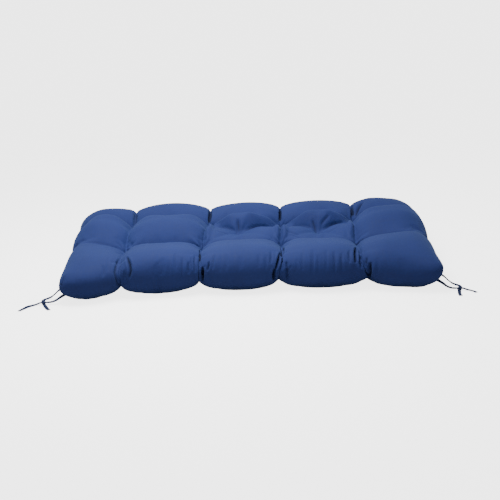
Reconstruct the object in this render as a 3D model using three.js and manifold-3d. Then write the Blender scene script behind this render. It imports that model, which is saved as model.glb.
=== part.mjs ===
// A long tufted seat cushion with a tied pair of tapes at each front corner.
// The cover is filled until it crowns, and threads drawn right through it part it into puffs:
// five across and three deep. Millimetres, +Z up, +Y towards the back edge.
// The origin is under the middle of the cushion, on the surface it lies on.

import * as THREE from 'three';
import { mergeVertices } from 'three/addons/utils/BufferGeometryUtils.js';
import Module from 'manifold-3d';

const wasm = await Module();
wasm.setup();

// Driving dimensions of the filled cushion
const HALF_WIDTH = 532;
const HALF_DEPTH = 256;
const SEAM_HEIGHT = 60;        // the edge seam runs round the cushion at this height
const SHOULDER = 90;           // width of the rounding from the seam up to the crown
const SHOULDER_POWER = 2.15;   // 2 is an ellipse, more is fuller
const PLAN_POWER = 5;          // how square the corners are from above
const PRESSED = 14;            // how far the underside is pressed flat by the cushion's weight
const CROWN_RISE = 96;         // from the seam up to the highest crown

// Tufts of the front and the back row, from left to right
const FRONT_TUFTS = [
  { x: -376, y: -72 },
  { x: -142, y: -67 },
  { x: 90, y: -56 },
  { x: 308, y: -78 },
];
const BACK_TUFTS = [
  { x: -356, y: 98 },
  { x: -125, y: 95 },
  { x: 92, y: 98 },
  { x: 311, y: 92 },
];
// Two more tufts stand in the middle of a puff; cell counts the puff from the left
const STAR_TUFTS = [
  { cell: 2, x: -35, y: 22 },
  { cell: 3, x: 195, y: 15 },
];
const FRONT_LINE = -68;        // mean line of the front tufts
const BACK_LINE = 96;          // mean line of the back tufts
const STAR_LINE = 18;

// Height of the crown along the depth, between the creases
const CROWN = [
  { y: -300, z: 130 },
  { y: -190, z: 138 },
  { y: -68, z: 113 },
  { y: 30, z: 155 },
  { y: 97, z: 124 },
  { y: 172, z: 138 },
  { y: 300, z: 130 },
];

// How far the front face stands forward along the width
const FRONT_REACH = [
  { x: -530, reach: 36 },
  { x: -440, reach: 34 },
  { x: -260, reach: 2 },
  { x: -30, reach: -3 },
  { x: 200, reach: 0 },
  { x: 420, reach: 14 },
  { x: 530, reach: 34 },
];

// Depths to which the cover is drawn in, for the two faces
const FACES = {
  top: {
    up: 1,
    frontTuft: 42,
    backTuft: 39,
    starTuft: 73,
    starCrease: 24,
    columnCrease: 38,
    frontRowCrease: 20,
    backRowCrease: 18,
    frontShoulder: 34,
    backShoulder: 26,
    cornerCut: { x: 160, y: 130, share: 0.55 },
  },
  under: {
    up: -1,
    frontTuft: 50,
    backTuft: 46,
    starTuft: 45,
    starCrease: 0,
    columnCrease: 22,
    frontRowCrease: 24,
    backRowCrease: 22,
    frontShoulder: 36,
    backShoulder: 28,
    cornerCut: { x: 70, y: 70, share: 0.5 },
  },
};
const SIDE_CREASE = 24;        // on the front and back faces, at the seam
const END_CREASE = 12;         // on the two ends, at the seam
const COLUMN_REACH = 100;      // half width of a crease that runs front to back
const ROW_REACH = 88;          // half width of a crease that runs side to side
const STAR_REACH = 66;         // half width of a crease of a star
const STAR_DIMPLE = 70;        // radius of the hollow round a star tuft
const PAST_EDGE = 20;          // a crease that runs to the edge ends this far past it in plan
const ON_SHOULDER = 0.72;      // part of such a crease that lies on the face and its shoulder
const END_SHARE = 0.8;         // an end's shoulder is creased this much less than the row between tufts

// Powers that shape the creases: more is narrower or steeper
const FALL_POWER = 2.3;
const DOME_SHARE = 0.4;        // part of a crease's profile that is a round dome
const TUFT_PULL = 2.2;
const STAR_PULL = 1.6;
const EDGE_PULL = 1.7;
const SHARPNESS = 8;           // how crisply one crease runs into the next

// Faces along each puff, from left to right and from front to back
const COLUMN_STEPS = [11, 12, 12, 12, 12];
const ROW_STEPS = [13, 12, 12];
const SHOULDER_SHARE = 0.62;   // part of an outer puff's faces that lie on its shoulder

// Tapes of the ties
const TAPE_WIDTH = 10;
const TAPE_THICKNESS = 1.6;
const TAPE_SOFT_EDGE = 0.4;
const TAPE_STEP = 7;
const GAP = 0.3;

// Half sizes of a knot's two lobes
const KNOT_BALL = { x: 9.5, y: 8, z: 5.4 };
const KNOT_FOLD = { x: 7, y: 4, z: 3 };

const clamp01 = (t) => Math.min(Math.max(t, 0), 1);
const ease = (t) => t * t * (3 - 2 * t);
const mix = (a, b, t) => a + (b - a) * t;

// Reads a table at one place; the blend between two rows is a straight line or an eased one
function readTable(rows, key, value, place, shape) {
  if (place <= rows[0][key]) return rows[0][value];
  for (let i = 1; i < rows.length; i += 1) {
    if (place <= rows[i][key]) {
      const t = (place - rows[i - 1][key]) / (rows[i][key] - rows[i - 1][key]);
      return mix(rows[i - 1][value], rows[i][value], shape(t));
    }
  }
  return rows.at(-1)[value];
}

// Cross profile of a crease: 1 on its line, falling in a round dome to 0 at its reach
function creaseProfile(t) {
  const s = 1 - clamp01(t);
  return (1 - DOME_SHARE) * s ** FALL_POWER + DOME_SHARE * (1 - Math.sqrt(1 - s * s));
}

// Distances from the edge at which an outer puff is cut into faces, even round its shoulder
function edgeStations(steps, length) {
  const stations = [];
  for (let i = 0; i <= steps; i += 1) {
    const t = i / steps;
    if (t < SHOULDER_SHARE) {
      const turn = (Math.PI / 2) * (t / SHOULDER_SHARE);
      const cos = Math.cos(turn);
      const radius = (cos ** SHOULDER_POWER + Math.sin(turn) ** SHOULDER_POWER) ** (-1 / SHOULDER_POWER);
      stations.push(SHOULDER * (1 - radius * cos));
    } else {
      stations.push(mix(SHOULDER, length, (t - SHOULDER_SHARE) / (1 - SHOULDER_SHARE)));
    }
  }
  return stations;
}

// Stations across one inner puff, with its middle one at a given place
function puffStations(steps, start, middle, end) {
  const stations = [];
  for (let i = 0; i <= steps; i += 1) {
    const t = (2 * i) / steps;
    stations.push(t < 1 ? mix(start, middle, t) : mix(middle, end, t - 1));
  }
  return stations;
}

// All stations along the width for one row of tufts
function columnStations(tufts) {
  const stations = edgeStations(COLUMN_STEPS[0], tufts[0].x + HALF_WIDTH).map((d) => d - HALF_WIDTH);
  for (let i = 1; i < tufts.length; i += 1) {
    const star = STAR_TUFTS.find((tuft) => tuft.cell === i);
    const middle = star ? star.x : (tufts[i - 1].x + tufts[i].x) / 2;
    stations.pop();
    stations.push(...puffStations(COLUMN_STEPS[i], tufts[i - 1].x, middle, tufts[i].x));
  }
  const last = edgeStations(COLUMN_STEPS[4], HALF_WIDTH - tufts[3].x).map((d) => HALF_WIDTH - d);
  stations.pop();
  return [...stations, ...last.reverse()];
}

// All stations along the depth
function rowStations() {
  const front = edgeStations(ROW_STEPS[0], FRONT_LINE + HALF_DEPTH).map((d) => d - HALF_DEPTH);
  const middle = puffStations(ROW_STEPS[1], FRONT_LINE, STAR_LINE, BACK_LINE);
  const back = edgeStations(ROW_STEPS[2], HALF_DEPTH - BACK_LINE).map((d) => HALF_DEPTH - d);
  return [...front.slice(0, -1), ...middle.slice(0, -1), ...back.reverse()];
}

// How far a row line is bent from its mean line, so that it passes through its tufts
function rowBend(tufts, line, x) {
  const ends = [{ x: -HALF_WIDTH, y: tufts[0].y }, ...tufts, { x: HALF_WIDTH, y: tufts[3].y }];
  return readTable(ends, 'x', 'y', x, (t) => t) - line;
}

// Grid of places in plan, before the corners are rounded
function planGrid() {
  const frontColumns = columnStations(FRONT_TUFTS);
  const backColumns = columnStations(BACK_TUFTS);
  const rows = rowStations();
  return frontColumns.map((frontX, i) => rows.map((row) => {
    const x = mix(frontX, backColumns[i], clamp01((row - FRONT_LINE) / (BACK_LINE - FRONT_LINE)));
    const frontPull = row < FRONT_LINE
      ? (row + HALF_DEPTH) / (FRONT_LINE + HALF_DEPTH)
      : clamp01((BACK_LINE - row) / (BACK_LINE - FRONT_LINE));
    const backPull = row > BACK_LINE
      ? (HALF_DEPTH - row) / (HALF_DEPTH - BACK_LINE)
      : clamp01((row - FRONT_LINE) / (BACK_LINE - FRONT_LINE));
    const frontBend = rowBend(FRONT_TUFTS, FRONT_LINE, x) * frontPull;
    const backBend = rowBend(BACK_TUFTS, BACK_LINE, x) * backPull;
    return { x, y: row + frontBend + backBend };
  }));
}

// The filled cover before any crease: a point of one face, and its outward normal
function shellPoint(plan, face) {
  const edgeX = clamp01((Math.abs(plan.x) - (HALF_WIDTH - SHOULDER)) / SHOULDER);
  const edgeY = clamp01((Math.abs(plan.y) - (HALF_DEPTH - SHOULDER)) / SHOULDER);
  const out = Math.max(edgeX, edgeY);
  const ring = (edgeX ** PLAN_POWER + edgeY ** PLAN_POWER) ** (1 / PLAN_POWER);
  const squeeze = ring > 0 ? out / ring : 1;
  const sideX = Math.sign(plan.x);
  const sideY = Math.sign(plan.y);
  const x = edgeX > 0 ? sideX * (HALF_WIDTH - SHOULDER + SHOULDER * edgeX * squeeze) : plan.x;
  const y = edgeY > 0 ? sideY * (HALF_DEPTH - SHOULDER + SHOULDER * edgeY * squeeze) : plan.y;

  const cut = face.cornerCut;
  const nearEnd = clamp01(1 - (HALF_WIDTH - Math.abs(x)) / cut.x);
  const nearSide = clamp01(1 - (HALF_DEPTH - Math.abs(y)) / cut.y);
  const full = face.up > 0 ? readTable(CROWN, 'y', 'z', y, ease) - SEAM_HEIGHT : SEAM_HEIGHT + PRESSED;
  const rise = full * (1 - cut.share * nearEnd * nearSide);
  const share = Math.max(1 - out ** SHOULDER_POWER, 0) ** (1 / SHOULDER_POWER);

  const slope = out > 0 ? out ** (SHOULDER_POWER - PLAN_POWER) / SHOULDER : 0;
  const normal = new THREE.Vector3(
    sideX * (edgeX * squeeze) ** (PLAN_POWER - 1) * slope,
    sideY * (edgeY * squeeze) ** (PLAN_POWER - 1) * slope,
    (face.up * share ** (SHOULDER_POWER - 1)) / rise,
  );
  return { point: new THREE.Vector3(x, y, SEAM_HEIGHT + face.up * rise * share), normal: normal.normalize() };
}

// Distance in plan from a point to a crease line, and how far along the line the nearest place is
function nearestOnLine(point, start, end) {
  const dx = end.x - start.x;
  const dy = end.y - start.y;
  const along = clamp01(((point.x - start.x) * dx + (point.y - start.y) * dy) / (dx * dx + dy * dy));
  return { distance: Math.hypot(point.x - start.x - along * dx, point.y - start.y - along * dy), along };
}

// A crease between two tufts is deepest at the tufts and shallow half way
function tuftCrease(point, start, end, startDepth, endDepth, middleDepth, reach, power) {
  const { distance, along } = nearestOnLine(point, start, end);
  const toTuft = Math.abs(2 * along - 1) ** power;
  const depth = mix(middleDepth, along < 0.5 ? startDepth : endDepth, toTuft);
  return depth * creaseProfile(distance / reach);
}

// A crease from a tuft to the edge grows shallow over the shoulder, and runs on down the side
function edgeCrease(point, tuft, edge, tuftDepth, shoulderDepth, sideDepth, reach) {
  const { distance, along } = nearestOnLine(point, tuft, edge);
  const height = clamp01(Math.abs(point.z - SEAM_HEIGHT) / CROWN_RISE);
  const depth = along < ON_SHOULDER
    ? mix(shoulderDepth, tuftDepth, (1 - along / ON_SHOULDER) ** EDGE_PULL)
    : mix(sideDepth, shoulderDepth, height);
  return depth * creaseProfile(distance / reach);
}

// How far the cover is drawn in at a point of the shell: the deepest crease wins, softly
function drawnIn(point, face) {
  const depths = [];
  for (let i = 0; i < 4; i += 1) {
    const front = FRONT_TUFTS[i];
    const back = BACK_TUFTS[i];
    const frontEdge = { x: front.x, y: -HALF_DEPTH - PAST_EDGE };
    const backEdge = { x: back.x, y: HALF_DEPTH + PAST_EDGE };
    const ends = [face.frontTuft, face.backTuft];
    depths.push(
      tuftCrease(point, front, back, ...ends, face.columnCrease, COLUMN_REACH, TUFT_PULL),
      edgeCrease(point, front, frontEdge, face.frontTuft, face.frontShoulder, SIDE_CREASE, COLUMN_REACH),
      edgeCrease(point, back, backEdge, face.backTuft, face.backShoulder, SIDE_CREASE, COLUMN_REACH),
    );
  }
  const rows = [
    { tufts: FRONT_TUFTS, depth: face.frontTuft, crease: face.frontRowCrease },
    { tufts: BACK_TUFTS, depth: face.backTuft, crease: face.backRowCrease },
  ];
  for (const { tufts, depth, crease } of rows) {
    for (let i = 1; i < tufts.length; i += 1) {
      depths.push(tuftCrease(point, tufts[i - 1], tufts[i], depth, depth, crease, ROW_REACH, TUFT_PULL));
    }
    const leftEdge = { x: -HALF_WIDTH - PAST_EDGE, y: tufts[0].y };
    const rightEdge = { x: HALF_WIDTH + PAST_EDGE, y: tufts[3].y };
    depths.push(
      edgeCrease(point, tufts[0], leftEdge, depth, crease * END_SHARE, END_CREASE, ROW_REACH),
      edgeCrease(point, tufts[3], rightEdge, depth, crease * END_SHARE, END_CREASE, ROW_REACH),
    );
  }
  for (const star of STAR_TUFTS) {
    const hollow = Math.hypot(point.x - star.x, point.y - star.y) / STAR_DIMPLE;
    depths.push(face.starTuft * creaseProfile(hollow));
    if (face.starCrease > 0) {
      const corners = [FRONT_TUFTS, BACK_TUFTS].flatMap((tufts) => [tufts[star.cell - 1], tufts[star.cell]]);
      for (const corner of corners) {
        const ends = [face.starTuft, face.backTuft];
        depths.push(tuftCrease(point, star, corner, ...ends, face.starCrease, STAR_REACH, STAR_PULL));
      }
    }
  }
  return depths.reduce((sum, depth) => sum + depth ** SHARPNESS, 0) ** (1 / SHARPNESS);
}

// One place of the finished cover
function coverPoint(plan, face) {
  const { point, normal } = shellPoint(plan, face);
  const placed = point.clone().addScaledVector(normal, -drawnIn(point, face));
  const toFront = ease(clamp01((-placed.y + FRONT_LINE) / (HALF_DEPTH + FRONT_LINE)));
  placed.y -= readTable(FRONT_REACH, 'x', 'reach', placed.x, (t) => t) * toFront;
  placed.z = Math.max(placed.z, 0);
  return placed;
}

// The whole cover as one closed skin: two faces that share the points of the edge seam
function cushionGeometry() {
  const plan = planGrid();
  const lastColumn = plan.length - 1;
  const lastRow = plan[0].length - 1;
  const points = [];
  const top = plan.map((column) => column.map((place) => points.push(coverPoint(place, FACES.top)) - 1));
  const under = plan.map((column, i) => column.map((place, j) => {
    const onSeam = i === 0 || j === 0 || i === lastColumn || j === lastRow;
    return onSeam ? top[i][j] : points.push(coverPoint(place, FACES.under)) - 1;
  }));

  const triangles = [];
  for (const { grid, up } of [{ grid: top, up: 1 }, { grid: under, up: -1 }]) {
    for (let i = 0; i < lastColumn; i += 1) {
      for (let j = 0; j < lastRow; j += 1) {
        const [a, b, c, d] = [grid[i][j], grid[i + 1][j], grid[i + 1][j + 1], grid[i][j + 1]];
        // a face is split along its deeper diagonal, so that the creases stay sharp
        const deeper = up * (points[a].z + points[c].z - points[b].z - points[d].z) < 0;
        const pair = deeper ? [a, b, c, a, c, d] : [a, b, d, b, c, d];
        triangles.push(...(up > 0 ? pair : pair.reverse()));
      }
    }
  }
  const geometry = new THREE.BufferGeometry();
  geometry.setAttribute('position', new THREE.Float32BufferAttribute(points.flatMap((p) => p.toArray()), 3));
  geometry.setIndex(triangles);
  geometry.computeBoundingBox();
  const middle = geometry.boundingBox.getCenter(new THREE.Vector3());
  geometry.translate(-middle.x, -middle.y, -geometry.boundingBox.min.z);
  return geometry;
}

// A closed geometry as a solid for cutting, and back again
function toSolid(source) {
  const bare = source.clone();
  bare.deleteAttribute('normal');
  bare.deleteAttribute('uv');
  const merged = mergeVertices(bare, 1e-3);
  const mesh = new wasm.Mesh({
    numProp: 3,
    vertProperties: new Float32Array(merged.attributes.position.array),
    triVerts: new Uint32Array(merged.index.array),
  });
  return new wasm.Manifold(mesh);
}

function toGeometry(solid) {
  const { vertProperties, triVerts } = solid.getMesh();
  const geometry = new THREE.BufferGeometry();
  geometry.setAttribute('position', new THREE.BufferAttribute(new Float32Array(vertProperties), 3));
  geometry.setIndex(new THREE.BufferAttribute(new Uint32Array(triVerts), 1));
  geometry.computeVertexNormals();
  return geometry;
}

// A flat woven tape with softened edges, laid along a route
function tapeGeometry(route, grow = 0) {
  const soft = TAPE_SOFT_EDGE;
  const halfThickness = TAPE_THICKNESS / 2 + grow;
  const halfWidth = TAPE_WIDTH / 2 + grow;
  const section = new THREE.Shape([
    new THREE.Vector2(-halfThickness, -halfWidth + soft),
    new THREE.Vector2(-halfThickness + soft, -halfWidth),
    new THREE.Vector2(halfThickness - soft, -halfWidth),
    new THREE.Vector2(halfThickness, -halfWidth + soft),
    new THREE.Vector2(halfThickness, halfWidth - soft),
    new THREE.Vector2(halfThickness - soft, halfWidth),
    new THREE.Vector2(-halfThickness + soft, halfWidth),
    new THREE.Vector2(-halfThickness, halfWidth - soft),
  ]);
  const path = new THREE.CatmullRomCurve3(route.map(([x, y, z]) => new THREE.Vector3(x, y, z)));
  const steps = Math.round(path.getLength() / TAPE_STEP);
  return new THREE.ExtrudeGeometry(section, { steps, extrudePath: path });
}

// A knot pulled tight: a flattened ball with a small fold standing out of it
function knotGeometry(centre, lean) {
  const ball = new THREE.SphereGeometry(1, 14, 8).rotateX(Math.PI / 2);
  const body = ball.clone().scale(KNOT_BALL.x, KNOT_BALL.y, KNOT_BALL.z).rotateZ(lean);
  body.translate(centre.x, centre.y, KNOT_BALL.z - GAP);
  const fold = ball.clone().scale(KNOT_FOLD.x, KNOT_FOLD.y, KNOT_FOLD.z).rotateZ(lean);
  fold.translate(centre.x, centre.y + KNOT_BALL.y - KNOT_FOLD.y / 2, KNOT_BALL.z + KNOT_FOLD.z / 2);
  const geometry = toGeometry(toSolid(body).add(toSolid(fold)));
  const position = geometry.attributes.position;
  for (let i = 0; i < position.count; i += 1) {
    position.setZ(i, Math.max(position.getZ(i), 0));
  }
  return geometry;
}

// Tied pair of tapes at each front corner. The first route of a pair runs in front of the loop
// that the pair makes, the second behind it, and both pass through the knot to a free end.
const TIES = [
  {
    side: 'left',
    knot: { x: -580, y: -262 },
    lean: 0.4,
    pull: { x: -1, y: -0.35 },
    routes: [
      [
        [-500, -236, 24], [-510, -243, 24], [-521, -250, 23.5], [-534, -256.5, 18],
        [-547, -260, 10.5], [-560, -262, 7.2], [-570, -262.5, 6.8], [-580, -263, 6.8],
        [-590, -263.8, 6.3], [-601, -266.5, 3.2], [-612, -272, 1.95], [-621, -279.5, 1.75],
        [-629, -289, 1.75], [-636, -299, 1.75], [-641.5, -310, 1.75],
      ],
      [
        [-503, -220, 34], [-514, -222, 34], [-527, -223.5, 33.5], [-541, -223, 27],
        [-553, -221.5, 16], [-565, -221, 6.5], [-575, -223.5, 2.65], [-582.5, -230, 2.35],
        [-585.5, -240, 2.65], [-584, -251, 3.05], [-580.5, -262, 3.15], [-576.5, -273, 2.95],
        [-571.5, -285, 2.25], [-565.5, -297, 1.75], [-558, -309, 1.75],
      ],
    ],
  },
  {
    side: 'right',
    knot: { x: 581, y: -254 },
    lean: -0.3,
    pull: { x: 1, y: -0.35 },
    routes: [
      [
        [500, -230, 28], [510, -236, 28], [521, -242, 27.5], [534, -248, 21],
        [547, -252, 12], [560, -254, 7.6], [570, -254.3, 6.8], [581, -254.5, 6.8],
        [591, -255.5, 6.3], [601, -258.5, 3.2], [610, -263.5, 1.95], [618, -271, 1.75],
        [624, -280, 1.75],
      ],
      [
        [503, -214, 38], [514, -216, 38], [527, -217.5, 37.5], [541, -217, 30],
        [553, -215.5, 18], [565, -214.5, 7.5], [575, -216.5, 2.85], [582.5, -222.5, 2.35],
        [586, -232, 2.65], [585, -243, 3.05], [582, -254, 3.15], [579, -265, 2.95],
        [577, -277, 2.25], [576.5, -289, 1.75], [578, -301, 1.75],
      ],
    ],
  },
];

// Finishes seen on the real cushion
const coverCloth = new THREE.MeshStandardMaterial({ color: 0x27407f, roughness: 0.85, metalness: 0 });
coverCloth.name = 'cover_cloth';
const tapeCloth = new THREE.MeshStandardMaterial({ color: 0x182548, roughness: 0.9, metalness: 0 });
tapeCloth.name = 'tape_cloth';

function addPiece(group, name, geometry, material) {
  const mesh = new THREE.Mesh(geometry, material);
  mesh.name = name;
  group.add(mesh);
}

const tufted_cushion = new THREE.Group();
const cushion = cushionGeometry();
addPiece(tufted_cushion, 'cushion', cushion, coverCloth);

for (const { side, knot, lean, pull, routes } of TIES) {
  const away = new THREE.Vector3(pull.x, pull.y, 0).setLength(GAP);
  const corner = toSolid(cushion.clone().translate(away.x, away.y, 0));
  let knotSolid = toSolid(knotGeometry(knot, lean));
  routes.forEach((route, i) => {
    const tape = toSolid(tapeGeometry(route)).subtract(corner);
    addPiece(tufted_cushion, `tie_${side}_${i === 0 ? 'front' : 'back'}`, toGeometry(tape), tapeCloth);
    knotSolid = knotSolid.subtract(toSolid(tapeGeometry(route, GAP)));
  });
  addPiece(tufted_cushion, `knot_${side}`, toGeometry(knotSolid), tapeCloth);
}

export default tufted_cushion;
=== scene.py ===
# A long tufted seat cushion with a knotted pair of tie tapes at each front corner.
# Metres, +Z up, +Y towards the cushion's back edge, in the same frame as the solids.

import bpy
import math
import numpy as np
from mathutils import Matrix, Vector


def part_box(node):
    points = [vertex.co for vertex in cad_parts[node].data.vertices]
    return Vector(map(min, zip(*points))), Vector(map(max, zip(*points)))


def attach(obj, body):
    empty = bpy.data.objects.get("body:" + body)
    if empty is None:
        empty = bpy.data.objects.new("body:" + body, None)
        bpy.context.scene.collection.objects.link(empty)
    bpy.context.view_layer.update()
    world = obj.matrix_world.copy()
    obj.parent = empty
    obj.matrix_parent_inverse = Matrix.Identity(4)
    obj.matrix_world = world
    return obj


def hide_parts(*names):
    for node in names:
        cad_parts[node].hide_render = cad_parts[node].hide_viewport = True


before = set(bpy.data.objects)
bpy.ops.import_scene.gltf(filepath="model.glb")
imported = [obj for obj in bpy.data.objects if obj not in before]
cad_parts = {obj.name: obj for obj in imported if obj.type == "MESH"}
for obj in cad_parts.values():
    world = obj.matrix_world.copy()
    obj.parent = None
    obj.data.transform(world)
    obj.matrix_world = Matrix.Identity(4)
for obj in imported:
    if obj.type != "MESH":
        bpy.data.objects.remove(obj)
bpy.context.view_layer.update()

# The camera
# It stands in front of the cushion, a little right of the middle, and looks down at it.
# It leans about two degrees, so that the front edge rises to the right.

CAMERA_PLACE = (0.0517, -3.4344, 1.2741)
CAMERA_DOWN = math.radians(19.637)
CAMERA_TURN = math.radians(-0.907)
CAMERA_LEAN = math.radians(-2.186)
CAMERA_LENS = 88.2
CAMERA_SENSOR = 36.0

ahead = np.array([
    math.sin(CAMERA_TURN) * math.cos(CAMERA_DOWN),
    math.cos(CAMERA_TURN) * math.cos(CAMERA_DOWN),
    -math.sin(CAMERA_DOWN),
])
level_right = np.array([math.cos(CAMERA_TURN), -math.sin(CAMERA_TURN), 0.0])
level_up = np.cross(level_right, ahead)
camera_right = math.cos(CAMERA_LEAN) * level_right + math.sin(CAMERA_LEAN) * level_up
camera_up = math.cos(CAMERA_LEAN) * level_up - math.sin(CAMERA_LEAN) * level_right

camera_data = bpy.data.cameras.new("camera")
camera_data.lens = CAMERA_LENS
camera_data.sensor_width = CAMERA_SENSOR
camera_data.dof.use_dof = False
camera_data.clip_start = 0.05
camera_data.clip_end = 60.0
camera = bpy.data.objects.new("camera", camera_data)
bpy.context.scene.collection.objects.link(camera)
turn = Matrix(np.stack([camera_right, camera_up, -ahead], axis=1).tolist()).to_4x4()
camera.matrix_world = Matrix.Translation(CAMERA_PLACE) @ turn
bpy.context.scene.camera = camera

# Tie tapes
# Each is a narrow strip of the cover's cloth, folded lengthwise and topstitched along one edge.
# A pair is sewn into the seam at each front corner, crosses in a knot and ends cut off.

TAPE_WIDTH = 0.010
TAPE_THICKNESS = 0.0016
TAPE_STEP = 0.0012
EDGE_POWER = 0.45
FACE_POWER = 0.55
STITCH_FROM_EDGE = 0.0018
STITCH_GROOVE = 0.00030
STITCH_GROOVE_WIDTH = 0.0005
FOLD_SWELL = 0.00022
FOLD_SWELL_PLACE = 0.0042
FOLD_SWELL_WIDTH = 0.0007
SECTION_POINTS = 36
PINCH_AT_KNOT = 0.22
PINCH_REACH = 0.009
LYING_BELOW = 0.0045
LIFT_SHARE = 0.9
LIFT_STEPS = 4
WAVER = 0.018
WAVER_LENGTHS = (0.031, 0.017, 0.011)
CUP = 0.00025
CUP_LENGTH = 0.043
END_ROUND = 0.0007
END_HEIGHT = 0.04
END_NARROWING = 0.07
ABOVE_SURFACE = 0.00012
UPRIGHT = np.array([0.0, 0.0, 1.0])


def smooth_route(knots, step):
    """Curve through the given points: on each stretch a Hermite cubic whose end slopes are the
    chord-weighted means of the two chords that meet there, then cut evenly by its own length."""
    knots = np.asarray(knots, float)
    chords = np.linalg.norm(np.diff(knots, axis=0), axis=1)
    place = np.concatenate([[0.0], np.cumsum(chords)])
    slopes = np.diff(knots, axis=0) / chords[:, None]
    inner = (slopes[:-1] * chords[1:, None] + slopes[1:] * chords[:-1, None])
    inner /= (chords[:-1] + chords[1:])[:, None]
    tangents = np.vstack([slopes[:1], inner, slopes[-1:]])
    fine = np.linspace(0.0, place[-1], 40 * len(knots))
    cell = np.clip(np.searchsorted(place, fine) - 1, 0, len(chords) - 1)
    t = ((fine - place[cell]) / chords[cell])[:, None]
    size = chords[cell][:, None]
    curve = (
        (2 * t**3 - 3 * t**2 + 1) * knots[cell]
        + (t**3 - 2 * t**2 + t) * size * tangents[cell]
        + (3 * t**2 - 2 * t**3) * knots[cell + 1]
        + (t**3 - t**2) * size * tangents[cell + 1]
    )
    length = np.concatenate([[0.0], np.cumsum(np.linalg.norm(np.diff(curve, axis=0), axis=1))])
    even = np.linspace(0.0, length[-1], int(round(length[-1] / step)) + 1)
    return np.stack([np.interp(even, length, curve[:, k]) for k in range(3)], axis=1)


def unit(vectors):
    """Each vector divided by its own length."""
    return vectors / np.linalg.norm(vectors, axis=-1, keepdims=True)


def tape_section():
    """Outline of the folded strip: a flat superellipse, swollen along both edges by the fold, with
    a groove where the stitching draws it in. Columns are the place across and the half height."""
    angle = np.linspace(0.0, 2 * math.pi, SECTION_POINTS, endpoint=False)
    across = np.sign(np.cos(angle)) * np.abs(np.cos(angle)) ** EDGE_POWER * TAPE_WIDTH / 2
    height = np.sign(np.sin(angle)) * np.abs(np.sin(angle)) ** FACE_POWER * TAPE_THICKNESS / 2
    side = np.sign(height)
    stitch_line = TAPE_WIDTH / 2 - STITCH_FROM_EDGE
    groove = STITCH_GROOVE * np.exp(-(((across - stitch_line) / STITCH_GROOVE_WIDTH) ** 2))
    swell = FOLD_SWELL * np.exp(-(((np.abs(across) - FOLD_SWELL_PLACE) / FOLD_SWELL_WIDTH) ** 2))
    return across, height + side * (swell - groove)


def grid_faces(rows, columns, closed):
    """Four-sided faces of a grid of points, which may be closed round its second direction."""
    last = columns if closed else columns - 1
    i, j = np.meshgrid(np.arange(rows - 1), np.arange(last), indexing="ij")
    k = (j + 1) % columns
    here, beyond = i * columns, (i + 1) * columns
    return np.stack([here + j, here + k, beyond + k, beyond + j], -1)


def add_mesh(name, points, faces, uv=None):
    """New object at the origin from points and faces; uv holds one place for every face corner."""
    mesh = bpy.data.meshes.new(name)
    mesh.from_pydata(points.reshape(-1, 3).tolist(), [], [list(f) for f in faces])
    if uv is not None:
        layer = mesh.uv_layers.new(name="cloth")
        layer.data.foreach_set("uv", np.asarray(uv, float).ravel())
    mesh.polygons.foreach_set("use_smooth", np.ones(len(mesh.polygons), bool))
    mesh.update()
    piece = bpy.data.objects.new(name, mesh)
    bpy.context.scene.collection.objects.link(piece)
    return piece


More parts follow.
